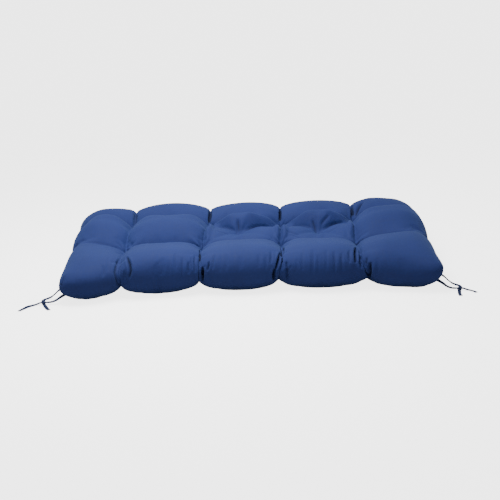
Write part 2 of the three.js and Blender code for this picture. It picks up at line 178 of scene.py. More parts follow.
def tape(name, knots, knot_place, twist, seed):
    """Sweeps the section along the route. The tape lies flat, turned about its own line by the
    twist table; its middle is lifted by as much as the turned edge would dip. It narrows where the
    knot pinches it, wavers a little in width, and closes over its cut ends."""
    path = smooth_route(knots, TAPE_STEP)
    along = np.linspace(0.0, 1.0, len(path))
    length = TAPE_STEP * (len(path) - 1)
    ahead_of = unit(np.gradient(path, axis=0))
    flat = unit(np.cross(ahead_of, UPRIGHT))
    normal = np.cross(flat, ahead_of)
    normal = np.where(normal[:, 2:] < 0, -normal, normal)
    angle = np.interp(along, *np.array(twist).T)
    lift = np.where(path[:, 2] < LYING_BELOW, np.abs(np.sin(angle)) * TAPE_WIDTH / 2 * LIFT_SHARE, 0.0)
    window = 2 * LIFT_STEPS + 1
    lift = np.convolve(np.pad(lift, LIFT_STEPS, mode="edge"), np.ones(window) / window, mode="valid")
    path = path + UPRIGHT * lift[:, None]
    side = np.cos(angle)[:, None] * flat + np.sin(angle)[:, None] * normal
    up = np.cos(angle)[:, None] * normal - np.sin(angle)[:, None] * flat

    from_knot = np.linalg.norm(path - np.array(knot_place), axis=1)
    pinch = 1 - PINCH_AT_KNOT * np.exp(-((from_knot / PINCH_REACH) ** 2))
    rng = np.random.default_rng(seed)
    waver = sum(
        rng.uniform(0.3, 1.0) * np.sin(2 * math.pi * (along * length / wave + rng.uniform()))
        for wave in WAVER_LENGTHS
    )
    width = pinch * (1 + WAVER * waver)
    cup = CUP * np.sin(2 * math.pi * (along * length / CUP_LENGTH + rng.uniform()))
    to_end = np.minimum(along, 1 - along) * length
    closing = np.sqrt(np.clip(1 - (1 - np.clip(to_end / END_ROUND, 0, 1)) ** 2, 0.0, 1.0))
    closing = np.maximum(closing, END_HEIGHT)

    across, height = tape_section()
    ridge = 1 - (2 * across / TAPE_WIDTH) ** 2
    sideways = across[None] * width[:, None] * (1 - END_NARROWING * (1 - closing[:, None]))
    upward = height[None] * closing[:, None] + cup[:, None] * ridge[None]
    points = path[:, None] + side[:, None] * sideways[..., None] + up[:, None] * upward[..., None]
    points[..., 2] = np.maximum(points[..., 2], ABOVE_SURFACE)

    rows = len(path)
    faces = grid_faces(rows, SECTION_POINTS, closed=True).reshape(-1, 4).tolist()
    first_end = list(range(SECTION_POINTS))
    last_end = [(rows - 1) * SECTION_POINTS + k for k in range(SECTION_POINTS)][::-1]
    u = np.concatenate([[0.0], np.cumsum(np.hypot(*np.diff(np.stack([across, height]), axis=1)))])
    u = np.append(u, u[-1] + math.hypot(across[0] - across[-1], height[0] - height[-1]))
    v = along * length
    i, j = np.meshgrid(np.arange(rows - 1), np.arange(SECTION_POINTS), indexing="ij")
    corners = [(0, 0), (1, 0), (1, 1), (0, 1)]
    uv = np.stack([np.stack([u[j + a], v[i + b]], -1) for a, b in corners], axis=2).reshape(-1, 2)
    caps = np.stack([across, np.zeros_like(across)], -1)
    uv = np.concatenate([uv, caps, caps[::-1]])
    piece = add_mesh(name, points, [*faces, first_end, last_end], uv)
    return piece, path, length


# Routes in metres, from inside the corner to the free end, and how much of each start is cut off
# to leave the tape beginning just inside the seam; twists are turns in radians along the tape
TIES = {
    "tie_left_front": {
        "knot": "knot_left",
        "twist": [
            (0, 0.5), (0.2, 0.2), (0.45, 0.0), (0.62, 0.0), (0.8, 0.22), (0.92, -0.1), (1, -0.18),
        ],
        "start": 0.0169,
        "route": [
            (-0.500, -0.236, 0.024), (-0.510, -0.243, 0.024), (-0.521, -0.250, 0.0235),
            (-0.534, -0.2565, 0.018), (-0.547, -0.260, 0.0105), (-0.560, -0.262, 0.0072),
            (-0.570, -0.2625, 0.0068), (-0.580, -0.263, 0.0068), (-0.590, -0.2638, 0.0063),
            (-0.601, -0.2665, 0.0032), (-0.612, -0.272, 0.00195), (-0.621, -0.2795, 0.00175),
            (-0.629, -0.289, 0.00175), (-0.636, -0.299, 0.00175), (-0.6415, -0.310, 0.00175),
        ],
    },
    "tie_left_back": {
        "knot": "knot_left",
        "twist": [(0, 0.4), (0.25, 0.15), (0.5, 0.0), (0.68, 0.0), (0.85, -0.2), (1, 0.12)],
        "start": 0.0188,
        "route": [
            (-0.503, -0.220, 0.034), (-0.514, -0.222, 0.034), (-0.527, -0.2235, 0.0335),
            (-0.541, -0.223, 0.027), (-0.553, -0.2215, 0.016), (-0.565, -0.221, 0.0065),
            (-0.575, -0.2235, 0.00265), (-0.5825, -0.230, 0.00235), (-0.5855, -0.240, 0.00265),
            (-0.584, -0.251, 0.00305), (-0.5805, -0.262, 0.00315), (-0.5765, -0.273, 0.00295),
            (-0.5715, -0.285, 0.00225), (-0.5655, -0.297, 0.00175), (-0.558, -0.309, 0.00175),
        ],
    },
    "tie_right_front": {
        "knot": "knot_right",
        "twist": [(0, -0.5), (0.25, -0.2), (0.5, 0.0), (0.7, 0.0), (0.9, 0.2), (1, 0.1)],
        "start": 0.0169,
        "route": [
            (0.500, -0.230, 0.028), (0.510, -0.236, 0.028), (0.521, -0.242, 0.0275),
            (0.534, -0.248, 0.021), (0.547, -0.252, 0.012), (0.560, -0.254, 0.0076),
            (0.570, -0.2543, 0.0068), (0.581, -0.2545, 0.0068), (0.591, -0.2555, 0.0063),
            (0.601, -0.2585, 0.0032), (0.610, -0.2635, 0.00195), (0.618, -0.271, 0.00175),
            (0.624, -0.280, 0.00175),
        ],
    },
    "tie_right_back": {
        "knot": "knot_right",
        "twist": [(0, -0.4), (0.25, -0.15), (0.5, 0.0), (0.68, 0.0), (0.85, 0.2), (1, -0.12)],
        "start": 0.0188,
        "route": [
            (0.503, -0.214, 0.038), (0.514, -0.216, 0.038), (0.527, -0.2175, 0.0375),
            (0.541, -0.217, 0.030), (0.553, -0.2155, 0.018), (0.565, -0.2145, 0.0075),
            (0.575, -0.2165, 0.00285), (0.5825, -0.2225, 0.00235), (0.586, -0.232, 0.00265),
            (0.585, -0.243, 0.00305), (0.582, -0.254, 0.00315), (0.579, -0.265, 0.00295),
            (0.577, -0.277, 0.00225), (0.5765, -0.289, 0.00175), (0.578, -0.301, 0.00175),
        ],
    },
}

KNOTS = {
    "knot_left": {"place": (-0.580, -0.2625, 0.0050), "along": 0.15, "lean": 0.45},
    "knot_right": {"place": (0.581, -0.2545, 0.0050), "along": -0.15, "lean": -0.45},
}
BAND_THICKNESS = 0.0016
BAND_BULGE = 0.0005
BAND_EDGE_POWER = 0.5
BAND_FACE_POWER = 0.7
BAND_POINTS = 72
BAND_SECTION_POINTS = 20

# The two turns of tape: share of the lean, half width across, half height, slant, its turn, width
BANDS = [(1.0, 0.0062, 0.0040, 0.0016, 0.4, 0.0064), (-0.8, 0.0058, 0.0043, -0.0022, 1.3, 0.005504)]
FILLING_SIZE = (0.0062, 0.0052, 0.0038)
FILLING_GRID = (15, 32)
FILLING_REACH = 1.45
KNOT_ABOVE_SURFACE = 0.0001


def lying_axes(along):
    """The two level directions along a knot and across it, for its turn in plan."""
    lengthwise = np.array([math.cos(along), math.sin(along), 0.0])
    crosswise = np.array([-math.sin(along), math.cos(along), 0.0])
    return lengthwise, crosswise


def knot_band(place, along, wide, high, slant, turn_by, width):
    """One turn of tape round the knot: an ellipse across the tapes that pass through, slanted to
    and fro along them, with a rounded flat section. Returns a closed grid of points."""
    t = np.linspace(0.0, 2 * math.pi, BAND_POINTS, endpoint=False)
    lengthwise, crosswise = lying_axes(along)
    ring = (
        np.array(place)
        + np.outer(wide * np.cos(t), crosswise)
        + np.outer(high * np.sin(t), UPRIGHT)
        + np.outer(slant * np.cos(t + turn_by), lengthwise)
    )
    run = unit(np.roll(ring, -1, axis=0) - np.roll(ring, 1, axis=0))
    out = unit(ring - np.array(place) - np.outer((ring - np.array(place)) @ lengthwise, lengthwise))
    out = unit(out - run * np.sum(out * run, axis=1, keepdims=True))
    side = np.cross(run, out)
    angle = np.linspace(0.0, 2 * math.pi, BAND_SECTION_POINTS, endpoint=False)
    across = np.sign(np.cos(angle)) * np.abs(np.cos(angle)) ** BAND_EDGE_POWER * width / 2
    height = np.sign(np.sin(angle)) * np.abs(np.sin(angle)) ** BAND_FACE_POWER * BAND_THICKNESS / 2
    bulge = BAND_BULGE * (1 - (2 * across / width) ** 2)
    upward = (height + bulge)[None, :, None]
    return ring[:, None] + side[:, None] * across[None, :, None] + out[:, None] * upward


def knot(name):
    """Two turns of tape slanted against each other over a small filling of tucked-in tape."""
    here = KNOTS[name]
    place, along, lean = here["place"], here["along"], here["lean"]
    bands = [knot_band(place, along + lean * share, *sizes) for share, *sizes in BANDS]
    points = []
    faces = []
    for grid in bands:
        rows, columns = grid.shape[:2]
        quads = grid_faces(rows + 1, columns, closed=True).reshape(-1, 4)
        quads = np.where(quads >= rows * columns, quads - rows * columns, quads)
        faces.extend((quads + sum(len(p) for p in points)).tolist())
        points.append(grid.reshape(-1, 3))
    rows, columns = FILLING_GRID
    round_angle = np.linspace(0, 2 * math.pi, columns, endpoint=False)
    t, s = np.meshgrid(round_angle, np.linspace(-FILLING_REACH, FILLING_REACH, rows))
    lengthwise, crosswise = lying_axes(along)
    half_length, half_width, half_height = FILLING_SIZE
    filling = (
        np.array(place)
        + (half_length * np.sin(s))[..., None] * lengthwise
        + (half_width * np.cos(s) * np.cos(t))[..., None] * crosswise
        + (half_height * np.cos(s) * np.sin(t))[..., None] * UPRIGHT
    )
    offset = sum(len(p) for p in points)
    faces.extend((grid_faces(rows, columns, closed=True).reshape(-1, 4) + offset).tolist())
    faces.append([offset + k for k in range(columns)][::-1])
    faces.append([offset + (rows - 1) * columns + k for k in range(columns)])
    points.append(filling.reshape(-1, 3))
    points = np.vstack(points)
    points[:, 2] = np.maximum(points[:, 2], KNOT_ABOVE_SURFACE)
    layout = points[[k for face in faces for k in face], :2]
    return add_mesh(name + "_wrapped", points, faces, layout)


def outward(piece):
    """Turns all faces of a closed piece outwards."""
    bpy.context.view_layer.objects.active = piece
    for other in bpy.context.selected_objects:
        other.select_set(False)
    piece.select_set(True)
    bpy.ops.object.mode_set(mode="EDIT")
    bpy.ops.mesh.select_all(action="SELECT")
    bpy.ops.mesh.normals_make_consistent(inside=False)
    bpy.ops.object.mode_set(mode="OBJECT")


FIRST_TAPE_SEED = 40

tape_pieces = []
knot_pieces = {}
for knot_name in KNOTS:
    knot_pieces[knot_name] = knot(knot_name)
    outward(knot_pieces[knot_name])

for order, (tie_name, tie) in enumerate(TIES.items()):
    whole = smooth_route(tie["route"], TAPE_STEP)
    first = int(round(tie["start"] / TAPE_STEP))
    knot_place = KNOTS[tie["knot"]]["place"]
    piece, path, length = tape(
        tie_name + "_tape", whole[first:], knot_place, tie["twist"], seed=FIRST_TAPE_SEED + order
    )
    outward(piece)
    tape_pieces.append(piece)
    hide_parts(tie_name)
    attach(piece, "root")

for knot_name, piece in knot_pieces.items():
    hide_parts(knot_name)
    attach(piece, "root")

# The tape's cloth: the same plain weave as the cover's, cut narrow and folded, so that it looks
# darker, with a row of stitches in lighter thread along one edge


def new_group(name, inputs, outputs):
    """Empty shader node group with the given sockets, and its two end nodes."""
    group = bpy.data.node_groups.new(name, "ShaderNodeTree")
    for socket, kind, value in inputs:
        made = group.interface.new_socket(name=socket, in_out="INPUT", socket_type=kind)
        if value is not None:
            made.default_value = value
    for socket, kind in outputs:
        group.interface.new_socket(name=socket, in_out="OUTPUT", socket_type=kind)
    return group, group.nodes.new("NodeGroupInput"), group.nodes.new("NodeGroupOutput")


def math_node(tree, operation, first, second=None):
    """Math node on one or two values, each a socket to link or a plain number."""
    node = tree.nodes.new("ShaderNodeMath")
    node.operation = operation
    for socket, value in zip(node.inputs, (first, second)):
        if isinstance(value, bpy.types.NodeSocket):
            tree.links.new(value, socket)
        elif value is not None:
            socket.default_value = value
    return node.outputs["Value"]


def noise(tree, place, scale, detail=2.0):
    """Noise texture's value at a place."""
    node = tree.nodes.new("ShaderNodeTexNoise")
    node.inputs["Scale"].default_value = scale
    node.inputs["Detail"].default_value = detail
    tree.links.new(place, node.inputs["Vector"])
    return node.outputs["Fac"]


def plain_weave():
    """Group that draws a plain weave on a layout in metres. Each thread is half a sine wave
    across; the two sets pass over each other by turns. Tone is a noise drawn out along each
    thread, so that threads differ in thickness and dye."""
    group, given, result = new_group(
        "plain_weave",
        [("Layout", "NodeSocketVector", None), ("Pitch", "NodeSocketFloat", 0.001)],
        [("Height", "NodeSocketFloat"), ("Tone", "NodeSocketFloat")],
    )
    split = group.nodes.new("ShaderNodeSeparateXYZ")
    group.links.new(given.outputs["Layout"], split.inputs["Vector"])
    counts = [
        math_node(group, "DIVIDE", split.outputs[axis], given.outputs["Pitch"]) for axis in "XY"
    ]
    threads = []
    tones = []
    for count, other in (counts, counts[::-1]):
        wave = math_node(group, "SINE", math_node(group, "MULTIPLY", count, math.pi))
        threads.append(math_node(group, "ABSOLUTE", wave))
        drawn_out = group.nodes.new("ShaderNodeCombineXYZ")
        group.links.new(math_node(group, "MULTIPLY", count, TONE_ACROSS), drawn_out.inputs["X"])
        group.links.new(math_node(group, "MULTIPLY", other, TONE_ALONG), drawn_out.inputs["Y"])
        tones.append(noise(group, drawn_out.outputs["Vector"], 1.0))
    whole = math_node(
        group, "ADD", math_node(group, "FLOOR", counts[0]), math_node(group, "FLOOR", counts[1])
    )
    on_top = math_node(group, "FLOORED_MODULO", whole, 2.0)
    height = group.nodes.new("ShaderNodeMix")
    group.links.new(on_top, height.inputs["Factor"])
    group.links.new(threads[0], height.inputs["A"])
    group.links.new(threads[1], height.inputs["B"])
    group.links.new(height.outputs["Result"], result.inputs["Height"])
    tone = math_node(group, "MULTIPLY", math_node(group, "ADD", tones[0], tones[1]), 0.5)
    group.links.new(tone, result.inputs["Tone"])
    return group


def tinted(tree, factor, first, second):
    """Colour between two, which are plain colours or sockets."""
    node = tree.nodes.new("ShaderNodeMix")
    node.data_type = "RGBA"
    tree.links.new(factor, node.inputs["Factor"])
    for name, value in (("A", first), ("B", second)):
        socket = next(one for one in node.inputs if one.name == name and one.type == "RGBA")
        if isinstance(value, bpy.types.NodeSocket):
            tree.links.new(value, socket)
        else:
            socket.default_value = (*value, 1.0)
    return next(one for one in node.outputs if one.type == "RGBA")


def spread(tree, value, low, high, out_low, out_high):
    """Value brought from one range to another, and kept inside it."""
    node = tree.nodes.new("ShaderNodeMapRange")
    tree.links.new(value, node.inputs["Value"])
    ends = {"From Min": low, "From Max": high, "To Min": out_low, "To Max": out_high}
    for name, number in ends.items():
        node.inputs[name].default_value = number
    return node.outputs["Result"]


def raised(tree, height, strength, distance, under=None):
    """Bump from a height, on top of another one."""
    node = tree.nodes.new("ShaderNodeBump")
    node.inputs["Strength"].default_value = strength
    node.inputs["Distance"].default_value = distance
    tree.links.new(height, node.inputs["Height"])
    if under is not None:
        tree.links.new(under, node.inputs["Normal"])
    return node.outputs["Normal"]


def woven(tree, pitch):
    """The weave on a piece's own layout: its place, height and tone."""
    layout = tree.nodes.new("ShaderNodeUVMap")
    layout.uv_map = "cloth"
    threads = tree.nodes.new("ShaderNodeGroup")
    threads.node_tree = weave
    threads.inputs["Pitch"].default_value = pitch
    tree.links.new(layout.outputs["UV"], threads.inputs["Layout"])
    return layout.outputs["UV"], threads.outputs["Height"], threads.outputs["Tone"]


def new_cloth(name, pitch, sheen):
    """Material of the weave at that pitch with a blue sheen: its tree, shader, and the weave's
    place, height and tone."""
    cloth = bpy.data.materials.new(name)
    cloth.use_nodes = True
    tree = cloth.node_tree
    shader = tree.nodes["Principled BSDF"]
    shader.inputs["Specular IOR Level"].default_value = CLOTH_SPECULAR
    shader.inputs["Sheen Weight"].default_value = sheen
    shader.inputs["Sheen Roughness"].default_value = CLOTH_SHEEN_ROUGHNESS
    shader.inputs["Sheen Tint"].default_value = CLOTH_SHEEN_TINT
    return cloth, tree, shader, *woven(tree, pitch)


TONE_ACROSS = 0.35
TONE_ALONG = 0.012
CLOTH_SPECULAR = 0.25
CLOTH_SHEEN_ROUGHNESS = 0.5
CLOTH_SHEEN_TINT = (0.3, 0.5, 1.0, 1.0)
DYE_RANGE = (0.36, 0.64)
TONE_RANGE = (0.35, 0.65)
WEAVE_STRENGTH = 0.4
weave = plain_weave()

TAPE_SHEEN = 0.08
TAPE_ROUGHNESS = (0.76, 0.88)
TAPE_PITCH = 0.0007
TAPE_DEEP = (0.0060, 0.0125, 0.050)
TAPE_PALE = (0.0105, 0.0200, 0.072)
THREAD = (0.0160, 0.0300, 0.105)
STITCH_LENGTH = 0.0028
STITCH_AT = 0.0026
STITCH_HALF_WIDTHS = (0.00018, 0.00034)
STITCH_GAP = (-0.6, -0.3)
STITCH_HEIGHT = 0.0003
STITCH_STRENGTH = 0.6
TAPE_THREAD_HEIGHT = 0.00015

tape_cloth, tree, shader, layout, height, tone = new_cloth("tape_cloth", TAPE_PITCH, TAPE_SHEEN)
split = tree.nodes.new("ShaderNodeSeparateXYZ")
tree.links.new(layout, split.inputs["Vector"])
beside_line = math_node(tree, "ABSOLUTE", math_node(tree, "SUBTRACT", split.outputs["X"], STITCH_AT))
on_line = spread(tree, beside_line, *STITCH_HALF_WIDTHS, 1.0, 0.0)
turn = math_node(tree, "MULTIPLY", split.outputs["Y"], 2 * math.pi / STITCH_LENGTH)
beat = math_node(tree, "SINE", turn)
stitch = math_node(tree, "MULTIPLY", on_line, spread(tree, beat, *STITCH_GAP, 0.0, 1.0))
dyed = tinted(tree, spread(tree, tone, *DYE_RANGE, 0.0, 1.0), TAPE_DEEP, TAPE_PALE)
tree.links.new(tinted(tree, stitch, dyed, THREAD), shader.inputs["Base Color"])
tree.links.new(spread(tree, tone, *TONE_RANGE, *TAPE_ROUGHNESS), shader.inputs["Roughness"])
threads = raised(tree, height, WEAVE_STRENGTH, TAPE_THREAD_HEIGHT)
tree.links.new(raised(tree, stitch, STITCH_STRENGTH, STITCH_HEIGHT, threads), shader.inputs["Normal"])
for piece in [*tape_pieces, *knot_pieces.values()]:
    piece.data.materials.append(tape_cloth)

# The cushion
# A closed cover of plain-woven polyester, filled with loose fibre until it crowns.
# Threads drawn right through it part it into puffs, five across and three deep.

HALF_WIDTH = 0.532
HALF_DEPTH = 0.256
SEAM_HEIGHT = 0.060
SHOULDER = 0.090
SHOULDER_POWER = 2.15
PLAN_POWER = 5.0
PRESSED = 0.014
CROWN_RISE = 0.096
FRONT_TUFTS = np.array([(-0.367, -0.072), (-0.142, -0.067), (0.090, -0.056), (0.308, -0.078)])
BACK_TUFTS = np.array([(-0.356, 0.098), (-0.125, 0.095), (0.092, 0.098), (0.311, 0.092)])
STAR_TUFTS = {2: np.array([-0.035, 0.012]), 3: np.array([0.204, 0.006])}
FRONT_LINE = -0.068
BACK_LINE = 0.096
STAR_LINE = 0.018
CROWN = np.array([
    (-0.300, 0.124), (-0.190, 0.133), (-0.068, 0.115), (0.012, 0.145), (0.058, 0.151),
    (0.097, 0.132), (0.172, 0.138), (0.300, 0.130),
])
FRONT_REACH = np.array([
    (-0.530, 0.036), (-0.440, 0.034), (-0.260, 0.002), (-0.030, -0.003), (0.200, 0.0),
    (0.420, 0.014), (0.530, 0.034),
])
FACES = {
    "top": {
        "up": 1, "front_tuft": 0.042, "back_tuft": 0.039, "star_tuft": 0.054,
        "column_crease": 0.038, "front_row": 0.030, "back_row": 0.034,
        "front_shoulder": 0.034, "back_shoulder": 0.026, "corner_cut": (0.160, 0.130, 0.55),
    },
    "under": {
        "up": -1, "front_tuft": 0.050, "back_tuft": 0.046, "star_tuft": 0.045,
        "column_crease": 0.022, "front_row": 0.024, "back_row": 0.022,
        "front_shoulder": 0.036, "back_shoulder": 0.028, "corner_cut": (0.070, 0.070, 0.5),
    },
}
SIDE_CREASE = 0.024
END_CREASE = 0.004
FRONT_END_SHARES = (0.15, 0.4)
BACK_END_SHARES = (1.2, 0.5)
COLUMN_REACH = 0.116
ROW_REACH = 0.088
STAR_DIMPLE = 0.070
FLOOR_REACH = 0.105
FLOOR_SIDE = 0.038
FLOOR_FRONT = 0.018
FLOOR_PULL = 1.2
FLOOR_INSET = 0.010
FLOOR_SIDE_BAND = 0.030
FLOOR_FRONT_BAND = 0.016
FOLD_BAND = 0.008
DOME_REACH = 0.042
DOME_SPREAD = 0.2
DOME_FALL = 1.1
STAR_BOWL = 0.078
ARM_SHIFT = 0.020

# Fine creases that run out from a star tuft: how deep towards the front and the back tufts, how
# fast they widen, between which widths, over what length they start, and how fast they fade
STAR_FRONT_CREASE = 0.006
STAR_BACK_CREASE = 0.005
STAR_CREASE_FAN = 0.40
STAR_CREASE_WIDTH = (0.003, 0.030)
STAR_CREASE_START = 0.012
STAR_CREASE_FADE = 0.6

# Where the filling stands higher or lower: place, reach along and across, and how much
LIFTS = [
    (-0.035, 0.084, 0.080, 0.028, 0.004),
    (0.204, 0.084, 0.080, 0.028, 0.004),
    (-0.260, -0.165, 0.090, 0.065, -0.012),
    (-0.030, -0.165, 0.090, 0.065, -0.012),
    (0.195, -0.165, 0.090, 0.065, -0.014),
    (0.400, -0.150, 0.050, 0.050, -0.002),
    (-0.450, -0.130, 0.060, 0.060, -0.011),
    (-0.460, -0.200, 0.085, 0.062, -0.009),
    (0.450, -0.210, 0.070, 0.055, -0.006),
    (-0.520, 0.060, 0.045, 0.050, -0.014),
    (-0.240, 0.040, 0.080, 0.040, -0.003),
    (-0.440, 0.050, 0.050, 0.035, 0.005),
    (-0.030, 0.170, 0.080, 0.050, -0.007),
    (0.200, 0.170, 0.080, 0.050, -0.008),
    (-0.352, 0.096, 0.040, 0.034, -0.010),
    (-0.125, 0.095, 0.045, 0.034, -0.008),
    (0.092, 0.096, 0.045, 0.034, -0.013),
    (0.311, 0.092, 0.045, 0.034, -0.010),
    (0.090, -0.056, 0.035, 0.030, -0.005),
    (-0.360, 0.052, 0.032, 0.038, -0.011),
    (-0.130, 0.052, 0.032, 0.038, -0.010),
    (0.092, 0.052, 0.032, 0.038, -0.017),
    (0.311, 0.050, 0.032, 0.038, -0.011),
    (-0.088, 0.062, 0.030, 0.030, -0.008),
    (0.052, 0.056, 0.032, 0.028, -0.016),
    (0.134, 0.056, 0.030, 0.030, -0.013),
    (0.268, 0.062, 0.030, 0.030, -0.006),
    (0.048, 0.094, 0.034, 0.022, 0.014),
    (0.266, 0.094, 0.030, 0.022, 0.012),
]

# How the front face leans sideways towards its foot, how far the right end is cut back, and where
# the front corners are drawn out into ears
FOOT_SHIFT = np.array([
    (-0.530, 0.0), (-0.367, 0.0), (-0.260, 0.0), (-0.142, -0.006), (-0.030, 0.0), (0.090, -0.013),
    (0.200, 0.0), (0.308, 0.024), (0.420, 0.008), (0.530, 0.0),
])
RIGHT_CUT = np.array([(-0.080, 0.0), (0.020, 0.006), (0.080, 0.012), (0.160, 0.017), (0.250, 0.017)])
EARS = np.array([(-0.530, -0.262, 0.020), (0.530, -0.262, 0.064)])
EAR_OUT = np.array([(-0.016, -0.006, 0.0), (0.011, -0.004, 0.0)])
EAR_SIZE = np.array([0.060, 0.060, 0.040])
FOOT_HEIGHT = 0.064
FOOT_HEIGHT_BAND = 0.080
FOOT_FRONT = -0.170
FOOT_FRONT_BAND = 0.100
RIGHT_CUT_FROM = 0.420
RIGHT_CUT_BAND = 0.200
PAST_EDGE = 0.020
ON_SHOULDER = 0.72
FALL_POWER = 2.1
DOME_SHARE = 0.6
TUFT_PULL = 2.2
EDGE_PULL = 1.7
SHARPNESS = 8
LIFTS_FROM = 0.025
LIFTS_BAND = 0.050

# Faces along each puff, from left to right and from front to back
COLUMN_STEPS = [38, 44, 44, 44, 40]
ROW_STEPS = [30, 26, 22]
SHOULDER_SHARE = 0.62
COLUMN_CROWD = 0.55
ROW_CROWD = 0.25


def edge_stations(steps, length):
    """Distances from the edge, at even turns round the shoulder and evenly beyond it."""
    t = np.linspace(0.0, 1.0, steps + 1)
    turn_round = np.pi / 2 * np.clip(t / SHOULDER_SHARE, 0.0, 1.0)
    cos, sin = np.cos(turn_round), np.sin(turn_round)
    radius = (cos**SHOULDER_POWER + sin**SHOULDER_POWER) ** (-1 / SHOULDER_POWER)
    flat = SHOULDER + (length - SHOULDER) * (t - SHOULDER_SHARE) / (1 - SHOULDER_SHARE)
    return np.where(t < SHOULDER_SHARE, SHOULDER * (1 - radius * cos), flat)


def puff_stations(steps, start, middle, end, crowd):
    """Places across a puff, closer together at its two creases."""
    t = np.linspace(0.0, 1.0, steps + 1)
    t = t - crowd * np.sin(2 * np.pi * t) / (2 * np.pi)
    return np.interp(t, [0.0, 0.5, 1.0], [start, middle, end])


def column_stations(tufts):
    """Places along the width for one row of tufts, from the left edge to the right."""
    parts = [edge_stations(COLUMN_STEPS[0], tufts[0, 0] + HALF_WIDTH)[:-1] - HALF_WIDTH]
    for i in range(1, 4):
        middle = STAR_TUFTS[i][0] if i in STAR_TUFTS else tufts[i - 1 : i + 1, 0].mean()
        places = puff_stations(COLUMN_STEPS[i], tufts[i - 1, 0], middle, tufts[i, 0], COLUMN_CROWD)
        parts.append(places[:-1])
    parts.append((HALF_WIDTH - edge_stations(COLUMN_STEPS[4], HALF_WIDTH - tufts[3, 0]))[::-1])
    return np.concatenate(parts)


def row_stations():
    """Places along the depth, from the front edge to the back."""
    front = edge_stations(ROW_STEPS[0], FRONT_LINE + HALF_DEPTH) - HALF_DEPTH
    middle = puff_stations(ROW_STEPS[1], FRONT_LINE, STAR_LINE, BACK_LINE, ROW_CROWD)
    back = (HALF_DEPTH - edge_stations(ROW_STEPS[2], HALF_DEPTH - BACK_LINE))[::-1]
    return np.concatenate([front[:-1], middle[:-1], back])


def plan_grid():
    """Grid of places in plan. Columns lean from the front tufts to the back ones, and rows bend
    so that they pass through the tufts."""
    rows = row_stations()[None, :]
    lean = np.clip((rows - FRONT_LINE) / (BACK_LINE - FRONT_LINE), 0.0, 1.0)
    front, back = column_stations(FRONT_TUFTS)[:, None], column_stations(BACK_TUFTS)[:, None]
    x = front + (back - front) * lean
    edges = [-HALF_DEPTH, FRONT_LINE, BACK_LINE, HALF_DEPTH]
    front_pull = np.interp(rows, edges, [0.0, 1.0, 0.0, 0.0])
    back_pull = np.interp(rows, edges, [0.0, 0.0, 1.0, 0.0])
    ends = np.array([-HALF_WIDTH, HALF_WIDTH])

    def bend(tufts, line):
        places = np.concatenate([ends[:1], tufts[:, 0], ends[1:]])
        lines = np.concatenate([tufts[:1, 1], tufts[:, 1], tufts[3:, 1]])
        return np.interp(x, places, lines) - line

    y = rows + bend(FRONT_TUFTS, FRONT_LINE) * front_pull + bend(BACK_TUFTS, BACK_LINE) * back_pull
    return np.stack([x, y], axis=-1)


def eased_table(table, place):
    """Value at a place, eased from one row of the table to the next."""
    cell = np.clip(np.searchsorted(table[:, 0], place) - 1, 0, len(table) - 2)
    t = np.clip((place - table[cell, 0]) / (table[cell + 1, 0] - table[cell, 0]), 0.0, 1.0)
    return table[cell, 1] + (table[cell + 1, 1] - table[cell, 1]) * t * t * (3 - 2 * t)


def shell(plan, face):
    """The filled cover before any crease. Over the shoulder, height falls as a superellipse of the
    way out, and in plan the corners are rounded by a superellipse too. Returns points, normals."""
    edge_x = np.clip((np.abs(plan[..., 0]) - (HALF_WIDTH - SHOULDER)) / SHOULDER, 0.0, 1.0)
    edge_y = np.clip((np.abs(plan[..., 1]) - (HALF_DEPTH - SHOULDER)) / SHOULDER, 0.0, 1.0)
    out = np.maximum(edge_x, edge_y)
    ring = (edge_x**PLAN_POWER + edge_y**PLAN_POWER) ** (1 / PLAN_POWER)
    squeeze = np.where(ring > 0, out / np.maximum(ring, 1e-9), 1.0)
    side_x, side_y = np.sign(plan[..., 0]), np.sign(plan[..., 1])
    x = np.where(edge_x > 0, side_x * (HALF_WIDTH - SHOULDER + SHOULDER * edge_x * squeeze), plan[..., 0])
    y = np.where(edge_y > 0, side_y * (HALF_DEPTH - SHOULDER + SHOULDER * edge_y * squeeze), plan[..., 1])

    cut_x, cut_y, cut_share = face["corner_cut"]
    near_end = np.clip(1 - (HALF_WIDTH - np.abs(x)) / cut_x, 0.0, 1.0)
    near_side = np.clip(1 - (HALF_DEPTH - np.abs(y)) / cut_y, 0.0, 1.0)
    full = eased_table(CROWN, y) - SEAM_HEIGHT if face["up"] > 0 else SEAM_HEIGHT + PRESSED
    rise = full * (1 - cut_share * near_end * near_side)
    share = np.maximum(1 - out**SHOULDER_POWER, 0.0) ** (1 / SHOULDER_POWER)

    slope = np.where(out > 0, np.maximum(out, 1e-9) ** (SHOULDER_POWER - PLAN_POWER) / SHOULDER, 0.0)
    normal = np.stack([
        side_x * (edge_x * squeeze) ** (PLAN_POWER - 1) * slope,
        side_y * (edge_y * squeeze) ** (PLAN_POWER - 1) * slope,
        face["up"] * share ** (SHOULDER_POWER - 1) / rise,
    ], axis=-1)
    return np.stack([x, y, SEAM_HEIGHT + face["up"] * rise * share], axis=-1), unit(normal)


def crease_profile(t):
    """1 on the crease's line, falling in a round dome to 0 at its reach."""
    s = 1 - np.clip(t, 0.0, 1.0)
    return (1 - DOME_SHARE) * s**FALL_POWER + DOME_SHARE * (1 - np.sqrt(1 - s * s))


def nearest_on_line(point, start, end):
    """Distance in plan from each point to a line, and how far along it the nearest place is."""
    run = np.asarray(end) - np.asarray(start)
    away = point[..., :2] - np.asarray(start)
    along = np.clip(away @ run / (run @ run), 0.0, 1.0)
    return np.linalg.norm(away - along[..., None] * run, axis=-1), along


